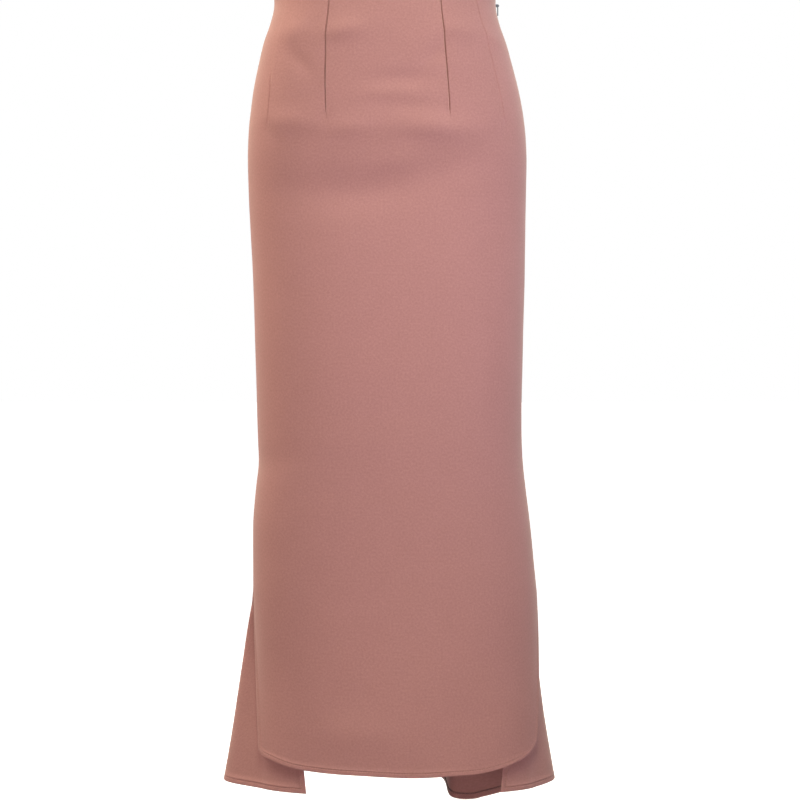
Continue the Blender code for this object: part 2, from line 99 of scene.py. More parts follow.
# Below the slits' tops: the front's apron, whose edges draw forward, and the back's fishtail
Apron = namedtuple("Apron", "depth centre half front edge wrap")
APRON = records(
    Apron,
    (0.762, 0.0134, 0.1715, 0.1032, 0.0060, 0.96),
    (0.820, 0.0151, 0.1705, 0.1042, 0.0190, 0.87),
    (0.870, 0.0161, 0.1692, 0.1052, 0.0310, 0.80),
    (0.920, 0.0157, 0.1665, 0.1060, 0.0420, 0.75),
    (0.965, 0.0157, 0.1650, 0.1065, 0.0500, 0.72),
)
Tail = namedtuple("Tail", "depth centre half side back")
TAIL = records(
    Tail,
    (0.780, 0.0079, 0.1756, 0.0030, 0.1500),
    (0.825, 0.0059, 0.1805, 0.0060, 0.1690),
    (0.860, 0.0054, 0.1853, 0.0085, 0.1845),
    (0.908, 0.0057, 0.1928, 0.0120, 0.2060),
    (0.950, 0.0055, 0.2003, 0.0150, 0.2240),
    (1.010, 0.0055, 0.2093, 0.0180, 0.2480),
)

# How much of a dart's fold shows, and from what depth down: a negative one shows it all
FROM_THE_WAIST = -0.030
FRONT_DARTS = records(
    namedtuple("Dart", "top_x tip_x tip_depth pressed shows_from"),
    (-0.1180, -0.1385, 0.172, 0.40, 0.100),
    (-0.0655, -0.0688, 0.163, 1.35, FROM_THE_WAIST),
    (0.0660, 0.0768, 0.163, 1.00, FROM_THE_WAIST),
    (0.1075, 0.1434, 0.170, 0.45, FROM_THE_WAIST),
)
BACK_DARTS = records(
    namedtuple("BackDart", "share tip_depth pressed shows_from"),
    (0.36, 0.160, 1.0, FROM_THE_WAIST),
    (0.64, 0.140, 1.0, FROM_THE_WAIST),
)

FLUTES = records(
    namedtuple("Flute", "place width reach starts"),
    (-0.80, 0.20, -0.014, 0.700),
    (-0.62, 0.20, 0.016, 0.640),
    (-0.41, 0.21, -0.052, 0.600),
    (-0.16, 0.22, 0.014, 0.600),
    (0.10, 0.20, 0.022, 0.590),
    (0.355, 0.22, -0.064, 0.590),
    (0.60, 0.20, 0.020, 0.620),
    (0.80, 0.19, -0.012, 0.700),
)
FLUTE_GROWTH = 1.5
FLUTE_BOTTOM = 0.985

HemPoint = namedtuple("HemPoint", "share depth")
# fmt: off
FRONT_HEM = records(
    HemPoint,
    (-1.00, 0.9138), (-0.97, 0.9168), (-0.83, 0.9243), (-0.70, 0.9298), (-0.50, 0.9335),
    (-0.21, 0.9361), (0.13, 0.9384), (0.33, 0.9369), (0.60, 0.9335), (0.74, 0.9274),
    (0.84, 0.9215), (0.93, 0.9126), (1.00, 0.9020),
)
BACK_HEM = records(
    HemPoint,
    (-1.40, 0.9600), (-1.15, 0.9595), (-1.00, 0.9565), (-0.80, 0.9550), (-0.41, 0.9600),
    (-0.10, 0.9780), (0.10, 0.9820), (0.22, 0.9870), (0.34, 1.0000), (0.43, 1.0035),
    (0.55, 0.9870), (0.75, 0.9620), (1.00, 0.9550), (1.15, 0.9585), (1.40, 0.9600),
)
# fmt: on

ZIP_TOP = 0.0085
ZIP_BOTTOM = 0.200
ZIP_TAPE_WIDTH = 0.0125
ZIP_TAPE_DEPTH = 0.0019
ZIP_PARTS_BY = 0.0040
ZIP_MOUTH = 0.036

# --- The cloth's own details
CLOTH = 0.8 * MM
FOLDED = 1.7 * MM
HEM_STANDS_OUT = 0.25 * MM
NOSE = 0.80 * MM
NOSE_FALLS = 0.92
SEAM_OPENS_BY = 0.01 * MM
ALLOWANCE = 12.0 * MM
HEM_BAND = {"front": 6.8 * MM, "back": 7.8 * MM}
STITCH_LINE = 5.2 * MM
GROOVE_DEPTH = 0.42 * MM
GROOVE_HALF = 0.75 * MM
BAND_STEP = 0.2 * MM
SLIT_EASE = 0.004
SLIT_END = 0.001
OUT_OF_REACH = 0.080

DART_DEPTH = 2.3 * MM
DART_HALF = 1.1 * MM
DART_FADE = 0.009
DART_INTAKE = 0.011
DART_BULK = 0.9 * MM
DART_SHOWS_OVER = 0.030
# The intake's two folds, pressed to one side: how far they go past it, ease in and out, and show
PRESSED_PAST = 0.5 * MM
PRESSED_IN = 1.2 * MM
PRESSED_OUT = 2.4 * MM
PRESSED_SHOWS = 0.16 * MM
# The dimple at a dart's tip
DIMPLE_DEPTH = 0.9 * MM
DIMPLE_WIDE = 0.009
DIMPLE_LONG = 0.012
DIMPLE_BELOW = 0.002

# A crease is a soft trough (sinks above 0) or ridge (below 0). In millimetres: its middle's x and
# depth, half its length and width, the turn of its length clockwise from level in degrees, and how
# far it sinks. A bowed one has its bend too, in 1/m.
FRONT_CREASES = (
    # ripples across the belly between the darts, from the waist down
    (-46, 62, 26, 12, -10, -3.4),
    (-106, 59, 18, 13, -20, -1.8),
    (86, 60, 26, 12, 4, -2.2),
    (-100, 98, 22, 9, 50, 1.6),
    (26, 120, 36, 10, -3, 2.4),
    (58, 92, 20, 9, -44, 1.9),
    (0, 137, 34, 9, 0, -1.2),
    (30, 152, 36, 9, 2, 1.0),
    # the break under the darts' tips, where the belly ends
    (56, 176, 46, 15, 2, -4.2),
    (-110, 168, 36, 14, 6, -2.1),
    (-39, 177, 24, 12, -4, -2.2),
    (14, 217, 20, 9, -8, -0.9),
    # and where the thighs take the cloth out again
    (-24, 252, 76, 25, -5, 4.6, -1.0),
    (85, 222, 42, 20, -8, 1.3),
    # at the hips
    (129, 67, 16, 6.5, 34, -1.4),
    (140, 184, 14, 8, 0, 0.9),
    (-130, 330, 50, 20, 62, 0.7),
    (128, 300, 60, 18, -66, 0.7),
    # long faint ones on the column
    (60, 400, 60, 20, 8, 0.5),
    (-20, 455, 70, 16, -3, -0.4),
    (10, 516, 75, 12, 1, 0.4),
    (0, 545, 80, 15, 1, -0.4),
    (-4, 604, 70, 13, -2, 0.4),
    (-112, 585, 34, 14, -10, -0.4),
    (118, 600, 32, 14, 14, 0.4),
    # soft upright waves towards the hem
    (-60, 700, 30, 70, 4, 0.9),
    (70, 740, 28, 90, -3, 0.9),
    (10, 850, 24, 80, 2, -0.7),
    (-110, 830, 22, 70, 3, 0.8),
    (-30, 888, 50, 22, 3, -2.6),
    (95, 876, 40, 28, -24, 2.2),
)
BACK_CREASES = (
    # under the seat
    (-52, 232, 70, 22, 8, 2.0, -1.4),
    (56, 246, 74, 23, -7, 1.8, 1.2),
    (-40, 276, 70, 22, 6, -1.0, -0.8),
    (46, 292, 66, 22, -6, -1.0, 0.8),
    # in the hollow of the back
    (-90, 52, 34, 9, 6, 1.0),
    (84, 61, 36, 9, -6, 1.0),
    (-22, 88, 18, 9, 2, 0.7),
    (118, 110, 30, 10, -26, 0.9),
    (-122, 124, 30, 10, 24, 0.9),
    # behind the knees and at the hips
    (-80, 420, 60, 14, 14, 1.1),
    (74, 452, 60, 14, -12, 1.1),
    (-70, 540, 55, 13, -10, 1.3),
    (82, 556, 55, 13, 12, 1.3),
    (-10, 585, 26, 14, 0, 0.9),
    (120, 330, 50, 18, 60, 0.8),
    (-118, 352, 50, 18, -62, 0.8),
)
CREASES_END = 0.012
UNEVENNESS = ((0.055, 0.00034), (0.021, 0.00011))

# Distances of the mesh's lines from an edge: round the nose, across the band, and at the stitches
NOSE_LINES = (0.0, 0.134 * NOSE, 0.5 * NOSE, NOSE, 1.7 * MM, 3.1 * MM)
GROOVE_LINES = tuple(STITCH_LINE + share * GROOVE_HALF for share in (-1.0, -0.5, 0.0, 0.5, 1.0))
STITCH_COLUMN = len(NOSE_LINES) + 2
RAW_EDGE_COLUMN = len(NOSE_LINES) + len(GROOVE_LINES)
EDGE_LINES = RAW_EDGE_COLUMN + 2
DART_LINES = (-3.4 * MM, -DART_HALF, -0.4 * DART_HALF, 0.0, 0.4 * DART_HALF, DART_HALF, 3.4 * MM)

# Rows of the mesh above the slits' tops: where each stretch ends, and how many it has
ROW_STRETCHES = records(
    namedtuple("Stretch", "bottom rows"),
    *((0.040, 10), (0.190, 42), (0.320, 28), (0.500, 30), (0.700, 38), (SLIT_TOP, 6)),
)
ROWS_BELOW_SLIT = 46
UPPER_ROWS = len(NOSE_LINES) - 1 + sum(stretch.rows for stretch in ROW_STRETCHES)

# Columns of the mesh: at an edge, at a dart, and between them
EDGE_COUNTS = [1] * (EDGE_LINES - 1)
DART_COUNTS = [1] * (len(DART_LINES) - 1)
FRONT_COUNTS = (12, 18, 42, 16, 12)
BACK_COUNTS = (22, 18, 24)
UNDERLAP_COUNT = 14


def smooth_between(rows, at):
    """A table's columns at a place in its first column, on a smooth curve through its rows."""
    table = np.array(rows)
    keys = table[:, 0]
    at = min(max(at, keys[0]), keys[-1])
    low = int(min(max(np.searchsorted(keys, at, side="right") - 1, 0), len(keys) - 2))
    steps = np.diff(keys)[:, None]
    slopes = np.diff(table, axis=0) / steps
    inner = (slopes[:-1] * steps[1:] + slopes[1:] * steps[:-1]) / (steps[:-1] + steps[1:])
    tangents = np.vstack([slopes[:1], inner, slopes[-1:]])
    span = keys[low + 1] - keys[low]
    t = (at - keys[low]) / span
    row = (
        (2 * t**3 - 3 * t**2 + 1) * table[low]
        + (t**3 - 2 * t**2 + t) * span * tangents[low]
        + (3 * t**2 - 2 * t**3) * table[low + 1]
        + (t**3 - t**2) * span * tangents[low + 1]
    )
    return type(rows[0])(*row)


FRONT_LEVELS = tuple(Apron(r.depth, r.centre, r.half, r.front, 0.0, 1.0) for r in BODY) + APRON
BACK_LEVELS = tuple(Tail(r.depth, r.centre, r.half, 0.0, r.back) for r in BODY) + TAIL


class Face:
    """A plain face as level sections, each cut into even steps, read at any depth and place."""

    STEP = 0.002
    STEPS = 200

    def __init__(self, top, section_at):
        self.top = top
        count = int(round((FACE_BOTTOM - top) / self.STEP)) + 1
        even = np.linspace(0.0, 1.0, self.STEPS + 1)
        tables, lengths = [], []
        for depth in top + self.STEP * np.arange(count):
            centre, points = section_at(depth)
            run = np.concatenate([[0.0], np.cumsum(np.hypot(*np.diff(points, axis=0).T))])
            along = np.gradient(points, axis=0)
            along /= np.maximum(np.hypot(*along.T), 1e-12)[:, None]
            columns = np.column_stack([points, along, np.full(len(points), centre)])
            tables.append([np.interp(even * run[-1], run, column) for column in columns.T])
            lengths.append(run[-1])
        self.tables = np.array(tables).transpose(1, 0, 2)
        self.lengths = np.array(lengths)

    def level(self, depth):
        at = np.clip((depth - self.top) / self.STEP, 0.0, len(self.lengths) - 1.001)
        return at.astype(int), at - at.astype(int)

    def length(self, depth):
        row, part = self.level(np.asarray(depth, float))
        return self.lengths[row] * (1.0 - part) + self.lengths[row + 1] * part

    def read(self, depth, place):
        """x from the middle, y, the direction along the section, and the middle's own x."""
        row, down = self.level(depth)
        at = np.clip(place, 0.0, 1.0) * self.STEPS
        column = np.minimum(at.astype(int), self.STEPS - 1)
        across = at - column
        table = self.tables
        upper = table[:, row, column] * (1 - across) + table[:, row, column + 1] * across
        lower = table[:, row + 1, column] * (1 - across) + table[:, row + 1, column + 1] * across
        x, y, along_x, along_y, centre = upper * (1 - down) + lower * down
        size = np.maximum(np.hypot(along_x, along_y), 1e-9)
        return x, y, along_x / size, along_y / size, centre


def front_section(depth):
    level = smooth_between(FRONT_LEVELS, depth)
    angle = np.linspace(0.0, min(level.wrap, 1.0) * math.pi / 2.0, PLAN_POINTS)
    across = np.sin(angle) ** (2.0 / FRONT_SQUARENESS)
    forward = np.cos(angle) ** (2.0 / FRONT_SQUARENESS)
    fall = (level.front - level.edge) / (1.0 - forward[-1])
    across *= level.half / across[-1]
    return level.centre, np.column_stack([across, fall * (1.0 - forward) - level.front])


def back_section(depth):
    level = smooth_between(BACK_LEVELS, depth)
    angle = np.linspace(0.0, math.pi / 2.0, PLAN_POINTS)
    across = level.half * np.sin(angle) ** (2.0 / BACK_SQUARENESS)
    along = level.side + (level.back - level.side) * np.cos(angle) ** (2.0 / BACK_SQUARENESS)
    return level.centre, np.column_stack([across, along])


FRONT = Face(0.0, front_section)
BACK = Face(0.0, back_section)


def front_place(share, depth, inward):
    """Points of the front's outer face, moved inward, share -1..1 from edge to edge."""
    side = np.where(share < 0.0, -1.0, 1.0)
    x, y, along_x, along_y, centre = FRONT.read(depth, abs(share))
    x = centre + side * (x - along_y * inward)
    return np.stack([x, y + along_x * inward, -depth], axis=-1)


def underlap_tuck(depth):
    """How far behind the front's outer face the underlap's outer face lies."""
    return TUCK + TUCK_SPREAD * np.maximum(depth - SLIT_TOP, 0.0) / (DEEPEST - SLIT_TOP)


def turn_section(side):
    def section(depth):
        """From the side line round to the slit's edge, behind the front."""
        level = smooth_between(BACK_LEVELS, depth)
        at = np.array([depth])
        edge = front_place(np.array([float(side)]), at, underlap_tuck(at))[0]
        outward = np.array([value[0] for value in FRONT.read(at, np.array([1.0]))[2:4]])
        start = np.array([level.half, level.side])
        end = np.array([side * (edge[0] - level.centre), edge[1]])
        reach = TURN_PULL * np.hypot(*(end - start))
        controls = (start, start + (0.0, -reach), end + reach * outward, end)
        t = np.linspace(0.0, 1.0, PLAN_POINTS)[:, None]
        weights = ((1 - t) ** 3, 3 * t * (1 - t) ** 2, 3 * t**2 * (1 - t), t**3)
        return level.centre, sum(weight * point for weight, point in zip(weights, controls))

    return section


TURN = {side: Face(SLIT_TOP, turn_section(side)) for side in (1, -1)}


def back_lengths(depth, side):
    """Lengths of the back's plain face and of the turn that follows it below the slit's top."""
    turn = np.where(depth > SLIT_TOP, TURN[side].length(depth), 0.0)
    return BACK.length(depth), turn


def flute_reach(place, depth):
    """How far the fishtail's folds push its face out at a place and depth."""
    reach = np.zeros(np.shape(place))
    for flute in FLUTES:
        away = np.minimum(abs(place - flute.place) / flute.width, 1.0)
        grown = np.maximum((depth - flute.starts) / (FLUTE_BOTTOM - flute.starts), 0.0)
        reach += flute.reach * grown**FLUTE_GROWTH * np.cos(away * math.pi / 2.0) ** 2
    return reach


def back_place(share, side, depth, inward):
    """Points of the back's outer face, share 0..1 from the centre seam to the slit's edge."""
    plain, turn = back_lengths(depth, side)
    place = share * (1.0 + turn / plain)
    on_turn = (place > 1.0) & (turn > 0.0)
    turned = np.where(on_turn, (place - 1.0) * plain / np.maximum(turn, 1e-9), 0.0)
    flat = BACK.read(depth, place)
    round_edge = TURN[side].read(depth, turned)
    x, y, along_x, along_y, centre = (np.where(on_turn, b, a) for a, b in zip(flat, round_edge))
    inward = inward - np.where(on_turn, 0.0, flute_reach(side * place, depth))
    x = centre + side * (x + along_y * inward)
    return np.stack([x, y - along_x * inward, -depth], axis=-1)


def zip_gap(depth):
    """Clear space between the seam's two sides at the zip, which part round the slider."""
    return SEAM_OPENS_BY + ZIP_PARTS_BY * np.maximum(0.0, 1.0 - depth / ZIP_MOUTH)


# --- Relief of a shell's two faces
def ease(at, start, end):
    """0 before start, 1 after end, and a smooth change between them."""
    t = np.clip((at - start) / (end - start), 0.0, 1.0)
    return t * t * (3.0 - 2.0 * t)


def nose(distance):
    """How far an edge's round nose has fallen at a distance from it."""
    t = 1.0 - np.clip(distance / NOSE, 0.0, 1.0)
    return NOSE_FALLS * NOSE * (1.0 - np.sqrt(np.maximum(1.0 - t * t, 0.0)))


def band(distance, width):
    """1 inside a folded band and 0 past it, with a steep step."""
    return np.clip((width - distance) / (2.0 * BAND_STEP) + 0.5, 0.0, 1.0)


def groove(distance):
    """1 on the line of stitches and 0 beside it."""
    away = np.clip(abs(distance - STITCH_LINE) / GROOVE_HALF, 0.0, 1.0)
    return np.cos(away * math.pi / 2.0) ** 2


def crease_relief(creases, x, depth):
    """How far the creases sink the cloth at a point."""
    sunk = np.zeros(np.shape(x))
    for *sizes, turn, sinks, bow in [(*row, 0.0)[:7] for row in creases]:
        at_x, at_depth, long, wide, sinks = (size / 1000.0 for size in (*sizes, sinks))
        turn = math.radians(turn)
        across, down = x - at_x, depth - at_depth
        along = across * math.cos(turn) + down * math.sin(turn)
        aside = down * math.cos(turn) - across * math.sin(turn) - bow * along**2
        sunk += sinks * np.exp(-((along / long) ** 2) - (aside / wide) ** 2)
    return sunk


def unevenness(points):
    """The small unevenness of cloth that hangs, a smooth noise in space."""
    flat = points.reshape(-1, 3)
    total = np.zeros(len(flat))
    for size, height in UNEVENNESS:
        total += height * np.array([noise.noise(Vector(point) / size) for point in flat])
    return total.reshape(points.shape[:-1])


def dart_relief(dart, away, depth, lean):
    """Sinking of the outer face at a dart, and bulk on the inner one, where its fold is pressed."""
    drawn = np.clip((dart.tip_depth - depth) / DART_FADE, 0.0, 1.0)
    sewn = dart.pressed * ease(depth, dart.shows_from, dart.shows_from + DART_SHOWS_OVER)
    fold = np.maximum(0.0, 1.0 - abs(away) / DART_HALF)
    width = DART_INTAKE * np.clip(1.0 - depth / dart.tip_depth, 0.0, 1.0) + PRESSED_PAST
    pressed = ease(lean * away, 0.0, PRESSED_IN)
    pressed *= 1.0 - ease(lean * away, width, width + PRESSED_OUT)
    past_tip = (depth - dart.tip_depth - DIMPLE_BELOW) / DIMPLE_LONG
    dimple = DIMPLE_DEPTH * np.exp(-((away / DIMPLE_WIDE) ** 2) - past_tip**2)
    outer = drawn * (sewn * DART_DEPTH * fold - PRESSED_SHOWS * pressed) + dimple
    return outer, outer + drawn * DART_BULK * pressed


def hem_relief(distance, band_width):
    """Both faces at a turned and stitched hem, by the distance from its edge."""
    folded = band(distance, band_width)
    stitched = GROOVE_DEPTH * groove(distance)
    outer = nose(distance) + stitched - HEM_STANDS_OUT * folded
    inner = (FOLDED - CLOTH - HEM_STANDS_OUT) * folded - nose(distance) - stitched
    return outer, inner


def seam_relief(distance):
    """Both faces at a plain seam, with its allowance pressed back inside."""
    outer = nose(distance)
    return outer, (FOLDED - CLOTH) * band(distance, ALLOWANCE) - outer


def spread(anchors, counts):
    """For each line of a mesh: the anchor before it, and its part of the way to the next one."""
    lines = [(0, 0.0)]
    for anchor, count in enumerate(counts):
        lines += [(anchor, step / count) for step in range(1, count + 1)]
    assert len(anchors) == len(counts) + 1
    return [anchors[a] * (1.0 - part) + anchors[a + 1] * part for a, part in lines]


def edge_lines(band_width):
    """Distances of the lines along an edge with a band of this width."""
    return [*NOSE_LINES, *GROOVE_LINES, band_width - BAND_STEP, band_width + BAND_STEP]


def row_depths(hem_depth, band_width):
    """Depths of a column's rows from the waist edge to its hem."""
    below = edge_lines(band_width)[::-1]
    bounds = list(NOSE_LINES) + [stretch.bottom for stretch in ROW_STRETCHES]
    bounds += [hem_depth - distance for distance in below]
    counts = [1] * (len(NOSE_LINES) - 1) + [stretch.rows for stretch in ROW_STRETCHES]
    counts += [ROWS_BELOW_SLIT] + [1] * (len(below) - 1)
    return np.array(spread(bounds, counts))


def edge_places(depth, band_width):
    """Distances of the lines along an edge that is a seam above the slit and a hem below it."""
    slit = ease(depth, SLIT_TOP - SLIT_EASE, SLIT_TOP + SLIT_EASE)
    width = ALLOWANCE + (band_width - ALLOWANCE) * slit
    return [distance + 0.0 * depth for distance in edge_lines(width)]


# --- The panels as grids of points
Panel = namedtuple("Panel", "outer inner kept uv outward")


def column_counts(between):
    """How many columns of the mesh each of a panel's anchored lines is from the next."""
    counts = EDGE_COUNTS + [between[0]]
    for count in between[1:]:
        counts = counts + DART_COUNTS + [count]
    return counts + EDGE_COUNTS


def lay_out(anchors_at, counts, hem_at, band_width):
    """Depth and share of each point of a panel's grid, by column and row."""
    level = spread(anchors_at(np.array([SLIT_TOP])), counts)
    depths, shares = [], []
    for column, at in enumerate(level):
        depths.append(row_depths(hem_at(float(at[0])), band_width))
        shares.append(spread(anchors_at(depths[-1]), counts)[column])
    return np.array(depths), np.array(shares)


def sink(sunk, depth, edges, darts):
    """How far inward both faces of a panel lie, with its creases, edges and darts."""
    outer, inner = sunk.copy(), sunk + CLOTH
    for relief in edges:
        outer += relief[0]
    fills = [relief[1] for relief in edges]
    inner += np.maximum.reduce(fills)
    inner += np.minimum.reduce([*fills, np.zeros(depth.shape)])
    for dart, away, lean in darts:
        sinks, fills = dart_relief(dart, away, depth, lean)
        outer += sinks
        inner += fills
    return outer, inner


def front_share(x, depth):
    """The share of the way to the edge at which the front's face lies at this x."""
    shares = np.linspace(0.0, 1.0, 401)
    across, _, _, _, centre = FRONT.read(np.full(shares.shape, depth), shares)
    offset = x - centre[0]
    return math.copysign(float(np.interp(abs(offset), across, shares)), offset)


DART_ENDS = {
    dart: (front_share(dart.top_x, 0.0), front_share(dart.tip_x, dart.tip_depth))
    for dart in FRONT_DARTS
}


def dart_place(dart, depth):
    at_top, at_tip = DART_ENDS[dart]
    return at_top + (at_tip - at_top) * np.minimum(depth / dart.tip_depth, 1.0)


def front_anchors(depth):
    """Places of the front's lines at given depths, -1..1 from edge to edge."""
    length = FRONT.length(depth)
    edge = edge_places(depth, HEM_BAND["front"])
    left = [-1.0 + (SEAM_OPENS_BY / 2.0 + away) / length for away in edge]
    right = [1.0 - (zip_gap(depth) / 2.0 + away) / length for away in edge[::-1]]
    middle = []
    for dart in FRONT_DARTS:
        at = dart_place(dart, depth)
        middle += [at + away / length for away in DART_LINES]
    return left + middle + right


def lay_front():
    """The front, its columns from the right side seam to the left one."""
    depth, share = lay_out(
        front_anchors,
        column_counts(FRONT_COUNTS),
        lambda at: smooth_between(FRONT_HEM, at).depth,
        HEM_BAND["front"],
    )
    length = FRONT.length(depth)
    gap = np.where(share < 0.0, SEAM_OPENS_BY, zip_gap(depth)) / 2.0
    from_side = np.maximum((1.0 - abs(share)) * length - gap, 0.0)
    from_hem = depth[:, -1:] - depth
    slit = ease(depth, SLIT_TOP - SLIT_EASE, SLIT_TOP + SLIT_EASE)
    from_edge = np.minimum(from_hem, from_side + OUT_OF_REACH * (1.0 - slit))
    plain = front_place(share, depth, np.zeros(depth.shape))
    sunk = crease_relief(FRONT_CREASES, plain[..., 0], depth) + unevenness(plain)
    sunk *= ease(from_side, 0.0, CREASES_END)
    outer, inner = sink(
        sunk,
        depth,
        (
            hem_relief(from_edge, HEM_BAND["front"]),
            seam_relief(from_side + OUT_OF_REACH * slit),
            seam_relief(depth),
        ),
        [
            (dart, (share - dart_place(dart, depth)) * length, -math.copysign(1.0, dart.top_x))
            for dart in FRONT_DARTS
        ],
    )
    kept = np.ones((depth.shape[0] - 1, depth.shape[1] - 1), bool)
    uv = np.stack([share * length, -depth], axis=-1)
    return Panel(
        front_place(share, depth, outer), front_place(share, depth, inner), kept, uv, True
    )


def lay_back(side):
    """One half of the back, its columns from the centre seam to the underlap's free edge."""

    def anchors_at(depth):
        plain, turn = back_lengths(depth, side)
        whole = plain + turn
        edge = edge_places(depth, ALLOWANCE)
        seam = [(SEAM_OPENS_BY / 2.0 + away) / whole for away in edge]
        gap = (zip_gap(depth) if side > 0 else SEAM_OPENS_BY) / 2.0
        gap = np.where(depth > SLIT_TOP, 0.0, gap)
        end = [1.0 - (gap + away) / whole for away in edge[::-1]]
        middle = []
        for dart in BACK_DARTS:
            middle += [dart.share + away / whole for away in DART_LINES]
        return seam + middle + end

    def hem_at(share):
        plain, turn = back_lengths(np.array([HEM_GUIDE_DEPTH]), side)
        return smooth_between(BACK_HEM, side * share * (1.0 + float(turn[0] / plain[0]))).depth

    depth, share = lay_out(anchors_at, column_counts(BACK_COUNTS), hem_at, HEM_BAND["back"])
    plain, turn = back_lengths(depth, side)
    whole = plain + turn
    from_centre = np.maximum(share * whole - SEAM_OPENS_BY / 2.0, 0.0)
    gap = np.where(depth > SLIT_TOP, 0.0, (zip_gap(depth) if side > 0 else SEAM_OPENS_BY) / 2.0)
    from_side = np.maximum((1.0 - share) * whole - gap, 0.0)

    # the underlap goes on behind the front, below the slit's top
    columns = len(depth)
    width = UNDERLAP_WIDTH[side]
    lap_counts = [UNDERLAP_COUNT] + [1] * (EDGE_LINES - 1)
    lap_bounds = [0.0] + [width - away for away in edge_lines(HEM_BAND["back"])[::-1]]
    steps = spread(lap_bounds, lap_counts)[1:]
    depth = np.vstack([depth, np.repeat(depth[-1:], len(steps), axis=0)])
    past = np.zeros(depth.shape)
    past[columns:] = np.array(steps)[:, None]
    lap_share = side * (1.0 - past / FRONT.length(depth))
    extra = np.full((len(steps), depth.shape[1]), OUT_OF_REACH)
    share = np.vstack([share, np.ones(extra.shape)])
    from_centre = np.vstack([from_centre, extra])
    from_side = np.vstack([from_side, extra])
    whole = np.vstack([whole, np.repeat(whole[-1:], len(steps), axis=0)])
    from_free_edge = np.where(past > 0.0, width - past, OUT_OF_REACH)

    from_hem = depth[:, -1:] - depth
    slit = ease(depth, SLIT_TOP - SLIT_EASE, SLIT_TOP + SLIT_END)
    base = back_place(share, side, depth, np.zeros(depth.shape))
    sunk = crease_relief(BACK_CREASES, base[..., 0], depth) + unevenness(base)
    sunk *= ease(from_centre, 0.0, CREASES_END) * ease(from_side, 0.0, CREASES_END)
    sunk[columns:] = 0.0
    outer, inner = sink(
        sunk,
        depth,
        (
            hem_relief(np.minimum(from_hem, from_free_edge), HEM_BAND["back"]),
            seam_relief(np.minimum(from_centre, from_side + OUT_OF_REACH * slit)),
            seam_relief(depth),
        ),
        [(dart, (share - dart.share) * whole, -1.0) for dart in BACK_DARTS],
    )

    def place(inward):
        points = back_place(share, side, depth, inward)
        lap = front_place(lap_share, depth, underlap_tuck(depth) + inward)
        points[columns:] = lap[columns:]
        return points

    kept = np.ones((depth.shape[0] - 1, depth.shape[1] - 1), bool)
    kept[columns - 1 :, : UPPER_ROWS + 1] = False
    uv = np.stack([side * (share * whole + past), -depth], axis=-1)
    return Panel(place(outer), place(inner), kept, uv, side < 0)


# --- Meshes
def link_mesh(name, points, faces, material, sharp=35.0):
    data = bpy.data.meshes.new(name)
    data.from_pydata([tuple(point) for point in points], [], [tuple(face) for face in faces])
    data.validate()
    data.shade_smooth()
    data.set_sharp_from_angle(angle=math.radians(sharp))
    data.materials.append(material)
    piece = bpy.data.objects.new(name, data)
    bpy.context.scene.collection.objects.link(piece)
    return piece


def make_shell(name, panel, material):
    """A closed shell from the grids of a panel's outer and inner faces."""
    columns, rows = panel.outer.shape[:2]
    count = columns * rows
    number = np.arange(count).reshape(columns, rows)
    column, row = np.argwhere(panel.kept).T
    corners = [number[column + a, row + b] for a, b in ((0, 0), (0, 1), (1, 1), (1, 0))]
    if not panel.outward:
        corners.reverse()
    outer = np.stack(corners, axis=1)
    inner = outer[:, ::-1] + count
    # a dict, because it keeps the edges in order
    edges = {edge: True for face in outer.tolist() for edge in zip(face, face[1:] + face[:1])}
    rim = [(b, a, a + count, b + count) for a, b in edges if (b, a) not in edges]
    faces = np.vstack([outer, inner, np.array(rim)])
    used, faces = np.unique(faces, return_inverse=True)
    points = np.stack([panel.outer, panel.inner]).reshape(-1, 3)[used]
    uv = np.stack([panel.uv, panel.uv]).reshape(-1, 2)[used]
    piece = link_mesh(name, points, faces.reshape(-1, 4), material)
    layer = piece.data.uv_layers.new(name="UVMap")
    corner = np.zeros(len(piece.data.loops), int)
    piece.data.loops.foreach_get("vertex_index", corner)
    layer.data.foreach_set("uv", uv[corner].ravel())
    return piece


# --- Tools of the hand
ALONG_X = (0.0, math.pi / 2.0, 0.0)
ALONG_Y = (math.pi / 2.0, 0.0, 0.0)
ALONG_Z = (0.0, 0.0, 0.0)


def start(operator, **settings):
    """A new primitive as the only selected object."""
    bpy.ops.object.select_all(action="DESELECT")
    operator(**settings)
    return bpy.context.view_layer.objects.active


def choose(piece, test):
    """In edit mode: selects the vertices whose place passes a test, and what lies between them."""
    mesh = bmesh.from_edit_mesh(piece.data)
    for vertex in mesh.verts:
        vertex.select_set(bool(test(piece.matrix_world @ vertex.co)))
    mesh.select_flush_mode()
    mesh.select_flush(True)
    bmesh.update_edit_mesh(piece.data)


def edit(piece):
    bpy.context.view_layer.objects.active = piece
    bpy.ops.object.mode_set(mode="EDIT")
    bpy.ops.mesh.select_mode(type="VERT")


def done():
    bpy.ops.object.mode_set(mode="OBJECT")


def settle(piece):
    """Puts a piece's place, turn and size into its mesh."""
    bpy.ops.object.select_all(action="DESELECT")
    piece.select_set(True)
    bpy.context.view_layer.objects.active = piece
    bpy.ops.object.transform_apply(location=True, rotation=True, scale=True)


def cylinder(sides, radius, length, turn, place=(0.0, 0.0, 0.0)):
    """A round bar, its length along Z before it is turned."""
    piece = start(
        bpy.ops.mesh.primitive_cylinder_add,
        vertices=sides,
        radius=radius,
        depth=length,
        location=place,
        rotation=turn,
    )
    settle(piece)
    return piece


def block(low, high):
    """A box between two corners."""
    low, high = Vector(low), Vector(high)
    piece = start(bpy.ops.mesh.primitive_cube_add, size=1.0, location=(low + high) / 2.0)
    piece.scale = high - low
    settle(piece)
    return piece


